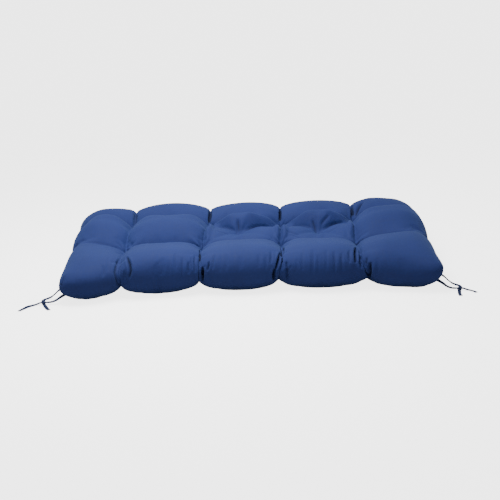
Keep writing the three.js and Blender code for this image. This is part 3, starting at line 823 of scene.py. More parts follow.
def tuft_crease(point, start, end, start_depth, end_depth, middle_depth, reach):
    """A crease between two tufts, deepest at the tufts and shallow half way."""
    distance, along = nearest_on_line(point, start, end)
    to_tuft = np.abs(2 * along - 1) ** TUFT_PULL
    depth = middle_depth + (np.where(along < 0.5, start_depth, end_depth) - middle_depth) * to_tuft
    return depth * crease_profile(distance / reach)


def edge_crease(point, tuft, edge, tuft_depth, shoulder_depth, side_depth, reach):
    """A crease from a tuft to the edge: shallow over the shoulder, then on down the side."""
    distance, along = nearest_on_line(point, tuft, edge)
    height = np.clip(np.abs(point[..., 2] - SEAM_HEIGHT) / CROWN_RISE, 0.0, 1.0)
    to_shoulder = np.clip(1 - along / ON_SHOULDER, 0, 1) ** EDGE_PULL
    near = shoulder_depth + (tuft_depth - shoulder_depth) * to_shoulder
    down = side_depth + (shoulder_depth - side_depth) * height
    return np.where(along < ON_SHOULDER, near, down) * crease_profile(distance / reach)


def drawn_in(point, face):
    """How far the threads draw the cover in: the deepest of all creases, softly."""
    depths = []
    for front, back in zip(FRONT_TUFTS, BACK_TUFTS):
        tufts = (face["front_tuft"], face["back_tuft"])
        depths.append(tuft_crease(point, front, back, *tufts, face["column_crease"], COLUMN_REACH))
        for tuft, edge, depth, row in ((front, -1, tufts[0], "front"), (back, 1, tufts[1], "back")):
            edge_place = (tuft[0], edge * (HALF_DEPTH + PAST_EDGE))
            shoulder = face[row + "_shoulder"]
            depths.append(edge_crease(point, tuft, edge_place, depth, shoulder, SIDE_CREASE, COLUMN_REACH))
    rows = [
        (FRONT_TUFTS, face["front_tuft"], face["front_row"], FRONT_END_SHARES),
        (BACK_TUFTS, face["back_tuft"], face["back_row"], BACK_END_SHARES),
    ]
    for tufts, depth, crease, (left_share, right_share) in rows:
        for start, end in zip(tufts[:-1], tufts[1:]):
            depths.append(tuft_crease(point, start, end, depth, depth, crease, ROW_REACH))
        for tuft, edge, share in ((tufts[0], -1, left_share), (tufts[3], 1, right_share)):
            edge_place = (edge * (HALF_WIDTH + PAST_EDGE), tuft[1])
            shoulder = crease * share
            depths.append(edge_crease(point, tuft, edge_place, depth, shoulder, END_CREASE, ROW_REACH))
    for cell, star in STAR_TUFTS.items():
        if face["up"] > 0:
            depths += star_depths(point, cell, star, face)
        else:
            hollow = np.linalg.norm(point[..., :2] - star, axis=-1) / STAR_DIMPLE
            depths.append(face["star_tuft"] * crease_profile(hollow))
    drawn = sum(depth**SHARPNESS for depth in depths) ** (1 / SHARPNESS)
    if face["up"] > 0:
        drawn = drawn + star_creases(point)
        above_seam = rising(point[..., 2] - SEAM_HEIGHT - LIFTS_FROM, LIFTS_BAND)
        for x, y, reach_x, reach_y, height in LIFTS:
            away = (point[..., :2] - (x, y)) / (reach_x, reach_y)
            drawn = drawn - height * above_seam * np.exp(-np.sum(away**2, axis=-1))
    return drawn


def beside(point, start, end):
    """Distance in plan to the left of the line that runs from start through end."""
    run = unit(np.asarray(end) - np.asarray(start))
    away = point[..., :2] - np.asarray(start)
    return run[0] * away[..., 1] - run[1] * away[..., 0]


def rising(distance, width):
    """0 to 1 across a band of that width round a line, eased at both ends."""
    t = np.clip(0.5 + distance / width, 0.0, 1.0)
    return t * t * (3 - 2 * t)


def star_depths(point, cell, star, face):
    """The puff round a star tuft: a floor that sinks to the tuft from both sides and from the
    front, and behind the two back creases a dome that keeps its height."""
    front_left, front_right = FRONT_TUFTS[cell - 1], FRONT_TUFTS[cell]
    back_left, back_right = BACK_TUFTS[cell - 1], BACK_TUFTS[cell]
    away = point[..., :2] - star
    from_star = np.linalg.norm(away, axis=-1)
    forward = np.clip(-away[..., 1] / np.maximum(from_star, 1e-6), 0.0, 1.0)
    outer = FLOOR_SIDE + (FLOOR_FRONT - FLOOR_SIDE) * forward
    sunk = np.clip(1 - from_star / FLOOR_REACH, 0.0, 1.0) ** FLOOR_PULL
    inside = (
        rising(-beside(point, front_left, back_left) - FLOOR_INSET, FLOOR_SIDE_BAND)
        * rising(beside(point, front_right, back_right) - FLOOR_INSET, FLOOR_SIDE_BAND)
        * rising(beside(point, front_left, front_right), FLOOR_FRONT_BAND)
    )
    back_left, back_right = back_left - (0.0, ARM_SHIFT), back_right - (0.0, ARM_SHIFT)
    left, right = beside(point, star, back_left), -beside(point, star, back_right)
    floor = np.maximum(rising(left, FOLD_BAND), rising(right, FOLD_BAND)) * inside
    depths = [floor * (outer + (face["star_tuft"] - outer) * sunk)]
    for corner in (back_left, back_right):
        distance, along = nearest_on_line(point, star, corner)
        depth = FLOOR_SIDE + (face["star_tuft"] - FLOOR_SIDE) * (1 - along) ** FLOOR_PULL
        reach = DOME_REACH * (1 - DOME_SPREAD * along)
        depths.append(depth * np.clip(1 - distance / reach, 0.0, 1.0) ** DOME_FALL)
    depths.append(face["star_tuft"] * np.clip(1 - from_star / STAR_BOWL, 0.0, 1.0) ** FLOOR_PULL)
    return depths


def star_creases(point):
    """Fine creases that fan out from each star tuft, narrow at the tuft and shallow far from it."""
    depth = np.zeros(point.shape[:-1])
    for cell, star in STAR_TUFTS.items():
        from_star = np.linalg.norm(point[..., :2] - star, axis=-1)
        width = np.clip(STAR_CREASE_FAN * from_star, *STAR_CREASE_WIDTH)
        starts = np.clip(from_star / STAR_CREASE_START, 0.0, 1.0)
        for tufts, deep in ((FRONT_TUFTS, STAR_FRONT_CREASE), (BACK_TUFTS, STAR_BACK_CREASE)):
            for corner in tufts[cell - 1 : cell + 1]:
                distance, along = nearest_on_line(point, star, corner)
                fades = np.clip(1 - along, 0.0, 1.0) ** STAR_CREASE_FADE
                depth = np.maximum(depth, deep * starts * fades * crease_profile(distance / width))
    return depth


def cover_face(plan, face):
    """One face of the finished cover: the shell drawn in along its normal, then brought forward at
    the front by its reach, and laid flat on the surface underneath."""
    point, normal = shell(plan, face)
    placed = point - normal * drawn_in(point, face)[..., None]
    forward = np.clip((FRONT_LINE - placed[..., 1]) / (HALF_DEPTH + FRONT_LINE), 0.0, 1.0)
    forward = forward * forward * (3 - 2 * forward)
    placed[..., 1] -= np.interp(placed[..., 0], *FRONT_REACH.T) * forward
    placed[..., 2] = np.maximum(placed[..., 2], 0.0)
    low_down = rising(FOOT_HEIGHT - placed[..., 2], FOOT_HEIGHT_BAND)
    in_front = rising(FOOT_FRONT - placed[..., 1], FOOT_FRONT_BAND)
    shift = np.interp(plan[..., 0], *FOOT_SHIFT.T) * low_down * in_front
    cut = np.interp(plan[..., 1], *RIGHT_CUT.T) * rising(placed[..., 0] - RIGHT_CUT_FROM, RIGHT_CUT_BAND)
    placed[..., 0] += shift - cut
    return placed


def cover_mesh():
    """Both faces as one closed skin that shares the points of the edge seam, set to the place of
    the cushion's solid. The flat cloth's own lengths along each row and column are its UV map."""
    plan = plan_grid()
    top, under = cover_face(plan, FACES["top"]), cover_face(plan, FACES["under"])
    columns, rows = plan.shape[:2]
    numbers = np.arange(columns * rows).reshape(columns, rows)
    inner = np.zeros((columns, rows), bool)
    inner[1:-1, 1:-1] = True
    under_numbers = numbers.copy()
    under_numbers[inner] = columns * rows + np.arange(inner.sum())
    points = np.vstack([top.reshape(-1, 3), under[inner]])
    low, high = points.min(axis=0), points.max(axis=0)
    cad_low, cad_high = (np.array(corner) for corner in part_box("cushion"))
    shift_to_solid = np.array([*((cad_low + cad_high - low - high) / 2)[:2], cad_low[2] - low[2]])
    points += shift_to_solid
    for ear, out in zip(EARS, EAR_OUT):
        near = np.exp(-np.sum(((points - ear) / EAR_SIZE) ** 2, axis=1))
        points += near[:, None] * out

    faces = []
    corners = []
    from_seam = np.zeros(len(points))
    for numbering, grid, shift in ((numbers, top, 0.0), (under_numbers, under, 1.0)):
        across = np.linalg.norm(np.diff(grid, axis=0), axis=-1).mean(axis=1)
        deep = np.linalg.norm(np.diff(grid, axis=1), axis=-1).mean(axis=0)
        u = np.concatenate([[0.0], np.cumsum(across)])[:, None] + np.zeros((1, rows))
        v = np.concatenate([[0.0], np.cumsum(deep)])[None, :] + np.zeros((columns, 1)) + shift
        to_seam = np.minimum(np.minimum(u, u[-1:] - u), v[:, -1:] - v)
        from_seam[numbering.ravel()] = to_seam.ravel()
        order = [(0, 0), (1, 0), (1, 1), (0, 1)]
        if shift:
            order = [(j, i) for i, j in order]
        pick = [(slice(i, columns - 1 + i), slice(j, rows - 1 + j)) for i, j in order]
        faces.append(np.stack([numbering[p] for p in pick], axis=-1).reshape(-1, 4))
        corners.append(np.stack([np.stack([u[p], v[p]], -1) for p in pick], axis=2).reshape(-1, 2))
    return points, np.vstack(faces), np.vstack(corners), from_seam, shift_to_solid[1]


cushion_points, cushion_faces, cushion_uv, from_seam, plan_shift = cover_mesh()
cushion = add_mesh("cushion_cover", cushion_points, cushion_faces.tolist(), cushion_uv)
seam_distance = cushion.data.attributes.new("from_seam", "FLOAT", "POINT")
seam_distance.data.foreach_set("value", from_seam.astype(np.float32))

# Filling: the cover is blown up against its threads, and the cloth's own slack makes the folds

PRESSURE = 4.0
SLACK = -0.02
FRAMES = 20
FURTHEST = 0.012
TUFT_HOLD = 0.012
CREASE_HOLD = 0.45
CREASE_HOLD_WIDTH = 0.006
RESTS_BELOW = 0.003
HOLD_LEVELS = 20
PAST_SIDE = (0.0, 0.4)


def soft_cap(move, furthest):
    """Shortens each move smoothly, so that none is longer than the furthest."""
    length = np.maximum(np.linalg.norm(move, axis=1, keepdims=True), 1e-9)
    return move / length * furthest * np.tanh(length / furthest)


def read_points(mesh):
    """Places of all vertices of a mesh."""
    points = np.empty(len(mesh.vertices) * 3, np.float32)
    mesh.vertices.foreach_get("co", points)
    return points.reshape(-1, 3).astype(float)


def blow_up(piece, held):
    """Blender's cloth with inner pressure and no gravity, run for a few frames and then applied.
    held is how firmly each vertex stays where it is, from 0 to 1."""
    group = piece.vertex_groups.new(name="held")
    levels = np.round(held * HOLD_LEVELS).astype(int)
    for level in range(1, HOLD_LEVELS + 1):
        group.add(np.flatnonzero(levels == level).tolist(), level / HOLD_LEVELS, "REPLACE")
    start = read_points(piece.data)
    modifier = piece.modifiers.new("filling", "CLOTH")
    cloth = modifier.settings
    cloth.quality = 5
    cloth.mass = 0.15
    cloth.air_damping = 2.0
    cloth.tension_stiffness = 15.0
    cloth.compression_stiffness = 5.0
    cloth.shear_stiffness = 5.0
    cloth.bending_stiffness = 0.3
    cloth.shrink_min = SLACK
    cloth.use_pressure = True
    cloth.uniform_pressure_force = PRESSURE
    cloth.effector_weights.gravity = 0.0
    cloth.vertex_group_mass = "held"
    cloth.pin_stiffness = 1.0
    modifier.collision_settings.use_collision = False
    modifier.point_cache.frame_start = 1
    modifier.point_cache.frame_end = FRAMES
    for number in range(1, FRAMES + 1):
        bpy.context.scene.frame_set(number)
    settled = read_points(piece.evaluated_get(bpy.context.evaluated_depsgraph_get()).data)
    piece.modifiers.remove(modifier)
    piece.vertex_groups.remove(group)
    bpy.context.scene.frame_set(1)
    return start, settled - start


def hold(points):
    """How firmly the threads hold the cover: wholly at the tufts, less along the creases between
    them, and wholly where the cushion lies on the surface."""
    plan = points[:, :2] - np.array([0.0, plan_shift])
    held = np.where(points[:, 2] < RESTS_BELOW, 1.0, 0.0)
    for tuft in [*FRONT_TUFTS, *BACK_TUFTS, *STAR_TUFTS.values()]:
        held = np.maximum(held, np.exp(-((np.linalg.norm(plan - tuft, axis=1) / TUFT_HOLD) ** 4)))
    lines = [*zip(FRONT_TUFTS, BACK_TUFTS)]
    for tufts, side in ((FRONT_TUFTS, -1), (BACK_TUFTS, 1)):
        lines += [*zip(tufts[:-1], tufts[1:]), *zip(tufts, tufts + side * np.array(PAST_SIDE))]
    for start, end in lines:
        distance = nearest_on_line(plan, start, end)[0]
        held = np.maximum(held, CREASE_HOLD * np.exp(-((distance / CREASE_HOLD_WIDTH) ** 2)))
    return held


begin, move = blow_up(cushion, hold(cushion_points))
cushion.data.vertices.foreach_set("co", (begin + soft_cap(move, FURTHEST)).ravel())
cushion.data.update()

subdivision = cushion.modifiers.new("finer", "SUBSURF")
subdivision.levels = 1
subdivision.render_levels = 1
bpy.context.view_layer.update()
all_objects = bpy.context.evaluated_depsgraph_get()
finer = bpy.data.meshes.new_from_object(
    cushion.evaluated_get(all_objects), preserve_all_data_layers=True, depsgraph=all_objects
)
cushion.modifiers.clear()
coarse = cushion.data
cushion.data = finer
bpy.data.meshes.remove(coarse)
cushion.data.name = "cushion_cover"

# Folds that the threads and the seams press into the cover. Each has its depth and its half width.
# Those that show from the front have their line in the pixels of the photo, and the
# camera's own rays lay it on the cover: first the deep slits beside the threads, then the puckers
FRONT_SLITS = [
    (0.0065, 0.0034, [(119.5, 259), (116.9, 265), (115.4, 273.4), (116.7, 281.3), (120, 286)]),
    (0.0110, 0.0036, [(126.5, 257), (129.2, 263.5), (130.4, 271), (129.3, 279)]),
    (0.0115, 0.0036, [(200.3, 250.5), (200, 256), (200.3, 261)]),
    (0.0150, 0.0040, [(202.3, 266.9), (202.6, 274), (202.3, 282)]),
    (0.0065, 0.0028, [(208.8, 261.7), (208.4, 266), (207.5, 270.8)]),
    (0.0125, 0.0036, [(282.2, 248.5), (283, 252), (282.4, 257)]),
    (0.0125, 0.0034, [(279.8, 253), (278.3, 261.2), (275.7, 269.7)]),
    (0.0150, 0.0040, [(275, 268.7), (274, 274), (274.2, 281)]),
    (0.0130, 0.0038, [(356.1, 247.5), (355.5, 255.4), (355.7, 263.2)]),
    (0.0055, 0.0030, [(360, 256), (360.3, 261), (361.3, 268.4)]),
    (0.0065, 0.0030, [(366.6, 257), (366.2, 262), (366, 267)]),
    (0.0150, 0.0042, [(370.2, 262.5), (369.9, 270), (369.4, 277.5)]),
    (0.0062, 0.0040, [(237.6, 219), (238.6, 226), (239.6, 233)]),
    (0.0068, 0.0040, [(312, 219.5), (314, 226), (316.8, 233.5)]),
    (0.0042, 0.0038, [(329.5, 214.6), (325, 219.5), (320.8, 225)]),
]
PUCKERS = [
    (0.0027, 0.0040, [(175.5, 253), (175.2, 262), (175.8, 272)]),
    (0.0030, 0.0042, [(182.5, 257), (182, 267), (181.5, 279)]),
    (0.0036, 0.0034, [(188.6, 262), (188.4, 267), (188.8, 274)]),
    (0.0034, 0.0038, [(195, 255), (194.6, 264), (195.2, 273)]),
    (0.0016, 0.0050, [(163, 258), (163.5, 266), (163, 275)]),
    (0.0027, 0.0036, [(214, 255), (213, 262), (212.5, 270)]),
    (0.0027, 0.0036, [(271, 251), (271.4, 257), (270.5, 264)]),
    (0.0017, 0.0044, [(226, 254), (226.5, 262), (226, 271)]),
    (0.0014, 0.0050, [(240, 256), (240.3, 263), (240, 270)]),
    (0.0017, 0.0044, [(259, 254), (259, 262), (258.4, 268)]),
    (0.0021, 0.0040, [(302.5, 253), (302, 261), (302.4, 271)]),
    (0.0029, 0.0042, [(312.5, 249), (312.8, 260), (312.4, 274)]),
    (0.0021, 0.0036, [(318.5, 255), (318.2, 264), (318.6, 274)]),
    (0.0023, 0.0040, [(326, 250), (326.6, 260), (326, 271)]),
    (0.0031, 0.0042, [(334, 251), (334.5, 262), (334, 274)]),
    (0.0029, 0.0036, [(341.7, 253), (341.5, 262), (342, 274)]),
    (0.0030, 0.0036, [(349.6, 250), (349.3, 256), (349.8, 263)]),
    (0.0047, 0.0036, [(286, 262), (287.2, 270), (286.8, 281.5)]),
    (0.0020, 0.0050, [(102, 265), (103.5, 271), (103, 277)]),
    (0.0020, 0.0044, [(108, 258), (107.6, 264), (108.2, 272)]),
    (0.0022, 0.0044, [(377, 258), (377.5, 266), (378, 275)]),
    (0.0031, 0.0030, [(364, 251), (364.6, 255), (365, 259)]),
    (0.0029, 0.0034, [(286.5, 230.5), (293, 233), (301, 235.5)]),
    (0.0026, 0.0034, [(289, 235), (296, 236.5), (303, 238)]),
    (0.0026, 0.0034, [(214, 230), (222, 232.5), (230, 235)]),
    (0.0026, 0.0034, [(340, 225.5), (333, 229.5), (327, 233)]),
    (0.0016, 0.0036, [(168.8, 260), (169, 267), (168.6, 276)]),
    (0.0018, 0.0034, [(178.8, 256), (178.6, 264), (179.2, 273)]),
    (0.0021, 0.0032, [(191.8, 257), (191.5, 263), (192, 270)]),
    (0.0013, 0.0040, [(297, 258), (297.3, 265), (297, 272)]),
    (0.0016, 0.0034, [(322.2, 252), (322.6, 259), (322.2, 268)]),
    (0.0016, 0.0034, [(330.2, 254), (330.6, 262), (330.2, 271)]),
    (0.0013, 0.0040, [(220, 257), (220.2, 264), (219.8, 272)]),
    (0.0016, 0.0036, [(266, 255), (266.3, 262), (265.8, 270)]),
]

# Folds that run from the back channels to their tufts, with the line in plan; then the depth and
# width of the left and the right fold that runs back from a star tuft, and its places along the way
BACK_SLITS = [
    (0.0120, 0.0050, [(-0.125, 0.205), (-0.124, 0.170), (-0.123, 0.134)]),
    (0.0120, 0.0050, [(0.092, 0.205), (0.092, 0.157), (0.0925, 0.138)]),
    (0.0140, 0.0056, [(0.296, 0.210), (0.310, 0.179), (0.316, 0.138)]),
    (0.0120, 0.0048, [(0.347, 0.178), (0.331, 0.151), (0.320, 0.127)]),
    (0.0060, 0.0050, [(-0.359, 0.204), (-0.353, 0.160), (-0.355, 0.130)]),
]
ARM_SLITS = [(0.0036, 0.0038), (0.0051, 0.0036)]
ARM_PLACES = (0.12, 0.32, 0.52, 0.72)
PHOTO_SIDE = 500
FOLD_SURROUND = 0.022
FOLD_STEP = 0.004
LIP_SHARE = 0.16
LIP_PLACE = 2.1
LIP_WIDTH = 1.3
THROUGH_FREE = 0.006
THROUGH_SHARE = 0.3
TAPER_POWER = 0.45
END_WIDTH = 0.55
RAY_HEIGHT = 1.0
FULL_FOLD = 0.008


def cast(starts, directions):
    """Where rays from the starts along the directions first meet the cover; misses are left out."""
    hits = [cushion.ray_cast(start, direction)[:2] for start, direction in zip(starts, directions)]
    return [tuple(place) for met, place in hits if met]


def seen_at(pixels):
    """Places on the cover that the camera sees at those pixels of a square picture."""
    focal = CAMERA_LENS / CAMERA_SENSOR * PHOTO_SIDE
    across, down = (np.array(pixels, float) - PHOTO_SIDE / 2).T / focal
    rays = ahead + across[:, None] * camera_right - down[:, None] * camera_up
    return cast([CAMERA_PLACE] * len(rays), unit(rays).tolist())


def from_above(plan):
    """Places on the top of the cover over those points in plan."""
    return cast([(x, y, RAY_HEIGHT) for x, y in plan], [(0.0, 0.0, -1.0)] * len(plan))


def fold_lines():
    """Every fold's depth, width and line on the cover."""
    folds = [(depth, width, seen_at(line)) for depth, width, line in FRONT_SLITS + PUCKERS]
    folds += [(depth, width, from_above(line)) for depth, width, line in BACK_SLITS]
    for cell, star in STAR_TUFTS.items():
        for (depth, width), corner in zip(ARM_SLITS, BACK_TUFTS[cell - 1 : cell + 1]):
            arm = corner - (0.0, ARM_SHIFT) - star
            plan = [star + (0.0, plan_shift) + share * arm for share in ARM_PLACES]
            folds.append((depth, width, from_above(plan)))
    return [fold for fold in folds if len(fold[2]) > 1]


def fold_depths(points, normals, folds):
    """How far each point is pressed in by the folds: a bell across each fold's line, raised a
    little along both sides, tapering to the line's two ends. The way to the line counts as far as it
    lies along the surface, and beyond a few millimetres also by a share of the part through it."""
    total = np.zeros(len(points))
    for depth, width, line in folds:
        line = smooth_route(line, FOLD_STEP)
        low, high = line.min(axis=0) - FOLD_SURROUND, line.max(axis=0) + FOLD_SURROUND
        near = np.flatnonzero(np.all((points > low) & (points < high), axis=1))
        best = np.full(len(near), 1.0)
        place = np.zeros(len(near))
        done = 0.0
        whole = np.linalg.norm(np.diff(line, axis=0), axis=1).sum()
        for start, end in zip(line[:-1], line[1:]):
            run = end - start
            size = np.linalg.norm(run)
            away = points[near] - start
            along = np.clip(away @ run / size**2, 0.0, 1.0)
            gap = away - along[:, None] * run
            through = np.sum(gap * normals[near], axis=1)
            gap = gap - through[:, None] * normals[near]
            behind = THROUGH_SHARE * np.maximum(np.abs(through) - THROUGH_FREE, 0)
            distance = np.hypot(np.linalg.norm(gap, axis=1), behind)
            closer = distance < best
            best = np.where(closer, distance, best)
            place = np.where(closer, (done + along * size) / whole, place)
            done += size
        taper = np.clip(4 * place * (1 - place), 0.0, 1.0) ** TAPER_POWER
        reach = width * (END_WIDTH + (1 - END_WIDTH) * taper)
        valley = np.exp(-((best / reach) ** 2))
        lips = LIP_SHARE * np.exp(-(((best - LIP_PLACE * reach) / (LIP_WIDTH * reach)) ** 2))
        total[near] += depth * taper * (valley - lips)
    return total


def read_normals(mesh):
    """Normals of all vertices of a mesh."""
    normals = np.empty(len(mesh.vertices) * 3, np.float32)
    mesh.vertex_normals.foreach_get("vector", normals)
    return normals.reshape(-1, 3).astype(float)


PLEAT_DEPTH = 0.0016
PLEAT_REACH = 0.030
PLEAT_START = 0.007
PLEAT_COUNTS = (5, 7, 11)
PLEAT_FACING = 0.05
PLEAT_ABOVE = 0.004


def tuft_pleats(points, normals, seed):
    """Small pleats that fan out round every tuft: a few uneven waves in the angle round it, strongest
    a little way from the thread and gone at its reach."""
    rng = np.random.default_rng(seed)
    total = np.zeros(len(points))
    for tuft in [*FRONT_TUFTS, *BACK_TUFTS, *STAR_TUFTS.values()]:
        for side in (1, -1):
            away = points[:, :2] - (tuft + np.array([0.0, plan_shift]))
            radius = np.linalg.norm(away, axis=1)
            angle = np.arctan2(away[:, 1], away[:, 0])
            waves = np.zeros(len(points))
            for count in PLEAT_COUNTS:
                waves += rng.uniform(0.4, 1.0) * np.cos(count * angle + rng.uniform(0, 2 * math.pi))
            strength = np.clip(radius / PLEAT_START, 0.0, 1.0) * np.exp(-((radius / PLEAT_REACH) ** 2))
            facing = np.where(normals[:, 2] * side > PLEAT_FACING, 1.0, 0.0)
            total += PLEAT_DEPTH * strength * facing * waves * (points[:, 2] > PLEAT_ABOVE)
    return total


GATHER_SEED = 23
GATHER_COUNT = 9
GATHER_FROM = (0.008, 0.062)
GATHER_DEPTH = 0.0030
GATHER_FALL = 0.045
GATHER_WIDTH = (0.0032, 0.0050)
GATHER_LENGTH = (0.016, 0.028)
GATHER_MIDDLE = (-0.012, 0.026)
GATHER_TILT = (0.1, 0.4)
GATHER_TILT_REACH = 0.060
GATHER_FACING = 0.3
GATHER_LIP_SHARE = 0.15
GATHER_LIP_PLACE = 2.0
SIDE_SLIT = (0.0090, 0.0042, 0.034)


def side_gathers(points, normals, lines, along, out, rng):
    """Gathers on a standing side, beside each of its sewn lines: narrow upright bells, tilted to
    the line and shallower away from it, and one deeper bell on the line itself. along and out
    are the axes that run along the side and out of it."""
    near = np.flatnonzero(normals @ out > GATHER_FACING)
    place, height = points[near] @ along, points[near, 2]
    total = np.zeros(len(points))
    slit_depth, slit_width, slit_length = SIDE_SLIT
    for line in lines:
        across = (place - line) / slit_width
        total[near] += slit_depth * np.exp(-(across**2) - ((height - SEAM_HEIGHT) / slit_length) ** 2)
        for number in range(GATHER_COUNT):
            away = rng.uniform(*GATHER_FROM) * (1 if number % 2 else -1)
            width, length = rng.uniform(*GATHER_WIDTH), rng.uniform(*GATHER_LENGTH)
            middle = SEAM_HEIGHT + rng.uniform(*GATHER_MIDDLE)
            depth = GATHER_DEPTH * math.exp(-abs(away) / GATHER_FALL) * rng.uniform(0.5, 1.0)
            tilt = -away / GATHER_TILT_REACH * rng.uniform(*GATHER_TILT)
            across = (place - line - away - tilt * (height - middle)) / width
            bell = np.exp(-(across**2) - ((height - middle) / length) ** 2)
            lips = np.exp(-((np.abs(across) - GATHER_LIP_PLACE) ** 2)) * np.sqrt(bell.max())
            total[near] += depth * (bell - GATHER_LIP_SHARE * lips)
    return total


SEAM_GROOVE = 0.0014
SEAM_WIDTH = 0.0024
SEAM_PUCKER = 0.0005
SEAM_PUCKER_REACH = 0.012
SEAM_PUCKER_LENGTHS = (0.009, 0.0125, 0.017)
SEAM_PUCKER_TURN = 400


def seam_depths(points, to_seam):
    """The sewn edge, along the back and the two ends: a narrow groove, with small puckers at three
    uneven spacings that fade beside it."""
    run = points[:, 0] + points[:, 1]
    puckers = sum(
        np.sin(2 * math.pi * run / wave + wave * SEAM_PUCKER_TURN) for wave in SEAM_PUCKER_LENGTHS
    )
    groove = SEAM_GROOVE * np.exp(-((to_seam / SEAM_WIDTH) ** 2))
    return groove + SEAM_PUCKER * puckers / 3 * np.exp(-((to_seam / SEAM_PUCKER_REACH) ** 2))


points = read_points(cushion.data)
normals = read_normals(cushion.data)
to_seam = np.empty(len(points), np.float32)
cushion.data.attributes["from_seam"].data.foreach_get("value", to_seam)
bpy.context.view_layer.update()
folds = fold_depths(points, normals, fold_lines())
gathers_rng = np.random.default_rng(GATHER_SEED)
x_axis, y_axis = np.array([1.0, 0.0, 0.0]), np.array([0.0, 1.0, 0.0])
sides = [(BACK_TUFTS[:, 0], x_axis, y_axis)]
for end, out in ((0, -x_axis), (3, x_axis)):
    sides.append(([tufts[end, 1] + plan_shift for tufts in (FRONT_TUFTS, BACK_TUFTS)], y_axis, out))
for lines, along, out in sides:
    folds += side_gathers(points, normals, lines, along, out, gathers_rng)
pressed = folds + tuft_pleats(points, normals, seed=7) + seam_depths(points, to_seam)
points -= normals * pressed[:, None]
points[:, 2] = np.maximum(points[:, 2], 0.0)
cushion.data.vertices.foreach_set("co", points.ravel())
# How deep each point lies in a fold, kept for the painted shade that darkens the cover's colour in the
# folds
in_fold = cushion.data.attributes.new("in_fold", "FLOAT", "POINT")
in_fold.data.foreach_set("value", np.clip(folds / FULL_FOLD, 0.0, 1.0).astype(np.float32))
cushion.data.update()

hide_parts("cushion")
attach(cushion, "root")

# The cover's cloth: smooth plain-woven polyester, dyed royal blue to navy, with a soft broad sheen.
# The dye takes a little unevenly from thread to thread; painted shade darkens the colour down in the folds
# and along the seam


def stored(tree, name):
    """A value kept on the mesh's own points."""
    node = tree.nodes.new("ShaderNodeAttribute")
    node.attribute_name = name
    return node.outputs["Fac"]


COVER_SHEEN = 0.14
COVER_ROUGHNESS = (0.74, 0.86)
COVER_PITCH = 0.0009
COVER_DEEP = (0.0130, 0.0262, 0.126)
COVER_PALE = (0.0170, 0.0335, 0.156)
# The deep navy that the painted shade in the folds and along the seam blends towards
COVER_PAINTED_SHADE = (0.0030, 0.0065, 0.034)
PATCH_SCALE = 7.0
THREAD_SHARE = 0.6
SEAM_SHADE_WIDTH = 0.0022
SEAM_SHADE = 0.6
FOLD_SHADE_FROM = 0.15
FOLD_SHADE = 0.85
RUMPLE_SCALE = 55.0
RUMPLE_STRENGTH = 0.35
RUMPLE_HEIGHT = 0.0016
COVER_THREAD_HEIGHT = 0.00018

cover_cloth, tree, shader, layout, height, tone = new_cloth("cover_cloth", COVER_PITCH, COVER_SHEEN)
place = tree.nodes.new("ShaderNodeTexCoord").outputs["Object"]
patchy = noise(tree, place, PATCH_SCALE, detail=3.0)
by_thread = math_node(tree, "MULTIPLY", tone, THREAD_SHARE)
by_patch = math_node(tree, "MULTIPLY", patchy, 1 - THREAD_SHARE)
shade = math_node(tree, "ADD", by_thread, by_patch)
dyed = tinted(tree, spread(tree, shade, *DYE_RANGE, 0.0, 1.0), COVER_DEEP, COVER_PALE)
# Painted shade: the base colour darkens towards a deep navy along the seam and down in the deeper folds,
# by their depth
painted_seam_shade = spread(tree, stored(tree, "from_seam"), 0.0, SEAM_SHADE_WIDTH, SEAM_SHADE, 0.0)
painted_fold_shade = spread(tree, stored(tree, "in_fold"), FOLD_SHADE_FROM, 1.0, 0.0, FOLD_SHADE)
darker = math_node(tree, "MAXIMUM", painted_fold_shade, painted_seam_shade)
tree.links.new(tinted(tree, darker, dyed, COVER_PAINTED_SHADE), shader.inputs["Base Color"])
tree.links.new(spread(tree, tone, *TONE_RANGE, *COVER_ROUGHNESS), shader.inputs["Roughness"])
rumples = noise(tree, place, RUMPLE_SCALE, detail=3.0)
rumpled = raised(tree, rumples, RUMPLE_STRENGTH, RUMPLE_HEIGHT)
relief = raised(tree, height, WEAVE_STRENGTH, COVER_THREAD_HEIGHT, rumpled)
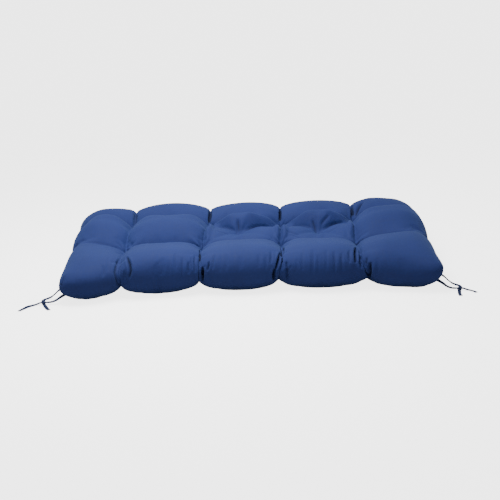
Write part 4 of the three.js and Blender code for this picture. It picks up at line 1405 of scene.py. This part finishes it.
tree.links.new(relief, shader.inputs["Normal"])
cushion.data.materials.append(cover_cloth)

# Floor and light
# A pale floor under one broad soft light from above, with a faint fill all round.

FLOOR_HALF = 15.0
FLOOR_SEEN = (0.90, 0.90, 0.90)
FLOOR_UNSEEN = (0.45, 0.45, 0.45)
FLOOR_GLOW = 3.2
SOFTBOX_PLACE = Vector((-0.24, -0.06, 1.35))
SOFTBOX_AIM = Vector((-0.13, -0.18, 0.1))
SKY_LIGHT = 0.54
SKY_SEEN = 1.9
WHITE = (1.0, 1.0, 1.0, 1.0)

floor_points = FLOOR_HALF * np.array([(-1, -1, 0), (1, -1, 0), (1, 1, 0), (-1, 1, 0)])
floor = add_mesh("floor", floor_points, [[0, 1, 2, 3]])
floor_paint = bpy.data.materials.new("pale_floor")
floor_paint.use_nodes = True
tree = floor_paint.node_tree
shader = tree.nodes["Principled BSDF"]
seen = tree.nodes.new("ShaderNodeLightPath").outputs["Is Camera Ray"]
tree.links.new(tinted(tree, seen, FLOOR_UNSEEN, FLOOR_SEEN), shader.inputs["Base Color"])
tree.links.new(math_node(tree, "MULTIPLY", seen, FLOOR_GLOW), shader.inputs["Emission Strength"])
shader.inputs["Emission Color"].default_value = WHITE
shader.inputs["Roughness"].default_value = 0.9
floor.data.materials.append(floor_paint)

box_data = bpy.data.lights.new("softbox", "AREA")
box_data.energy = 11.7
box_data.size = 0.8
box_data.spread = math.radians(110)
box = bpy.data.objects.new("softbox", box_data)
box.location = SOFTBOX_PLACE
box.rotation_euler = (SOFTBOX_AIM - SOFTBOX_PLACE).to_track_quat("-Z", "Y").to_euler()
bpy.context.scene.collection.objects.link(box)

world = bpy.data.worlds.new("studio")
world.use_nodes = True
sky = world.node_tree
backdrop = sky.nodes["Background"]
backdrop.inputs["Color"].default_value = WHITE
seen = sky.nodes.new("ShaderNodeLightPath").outputs["Is Camera Ray"]
sky.links.new(spread(sky, seen, 0.0, 1.0, SKY_LIGHT, SKY_SEEN), backdrop.inputs["Strength"])
bpy.context.scene.world = world
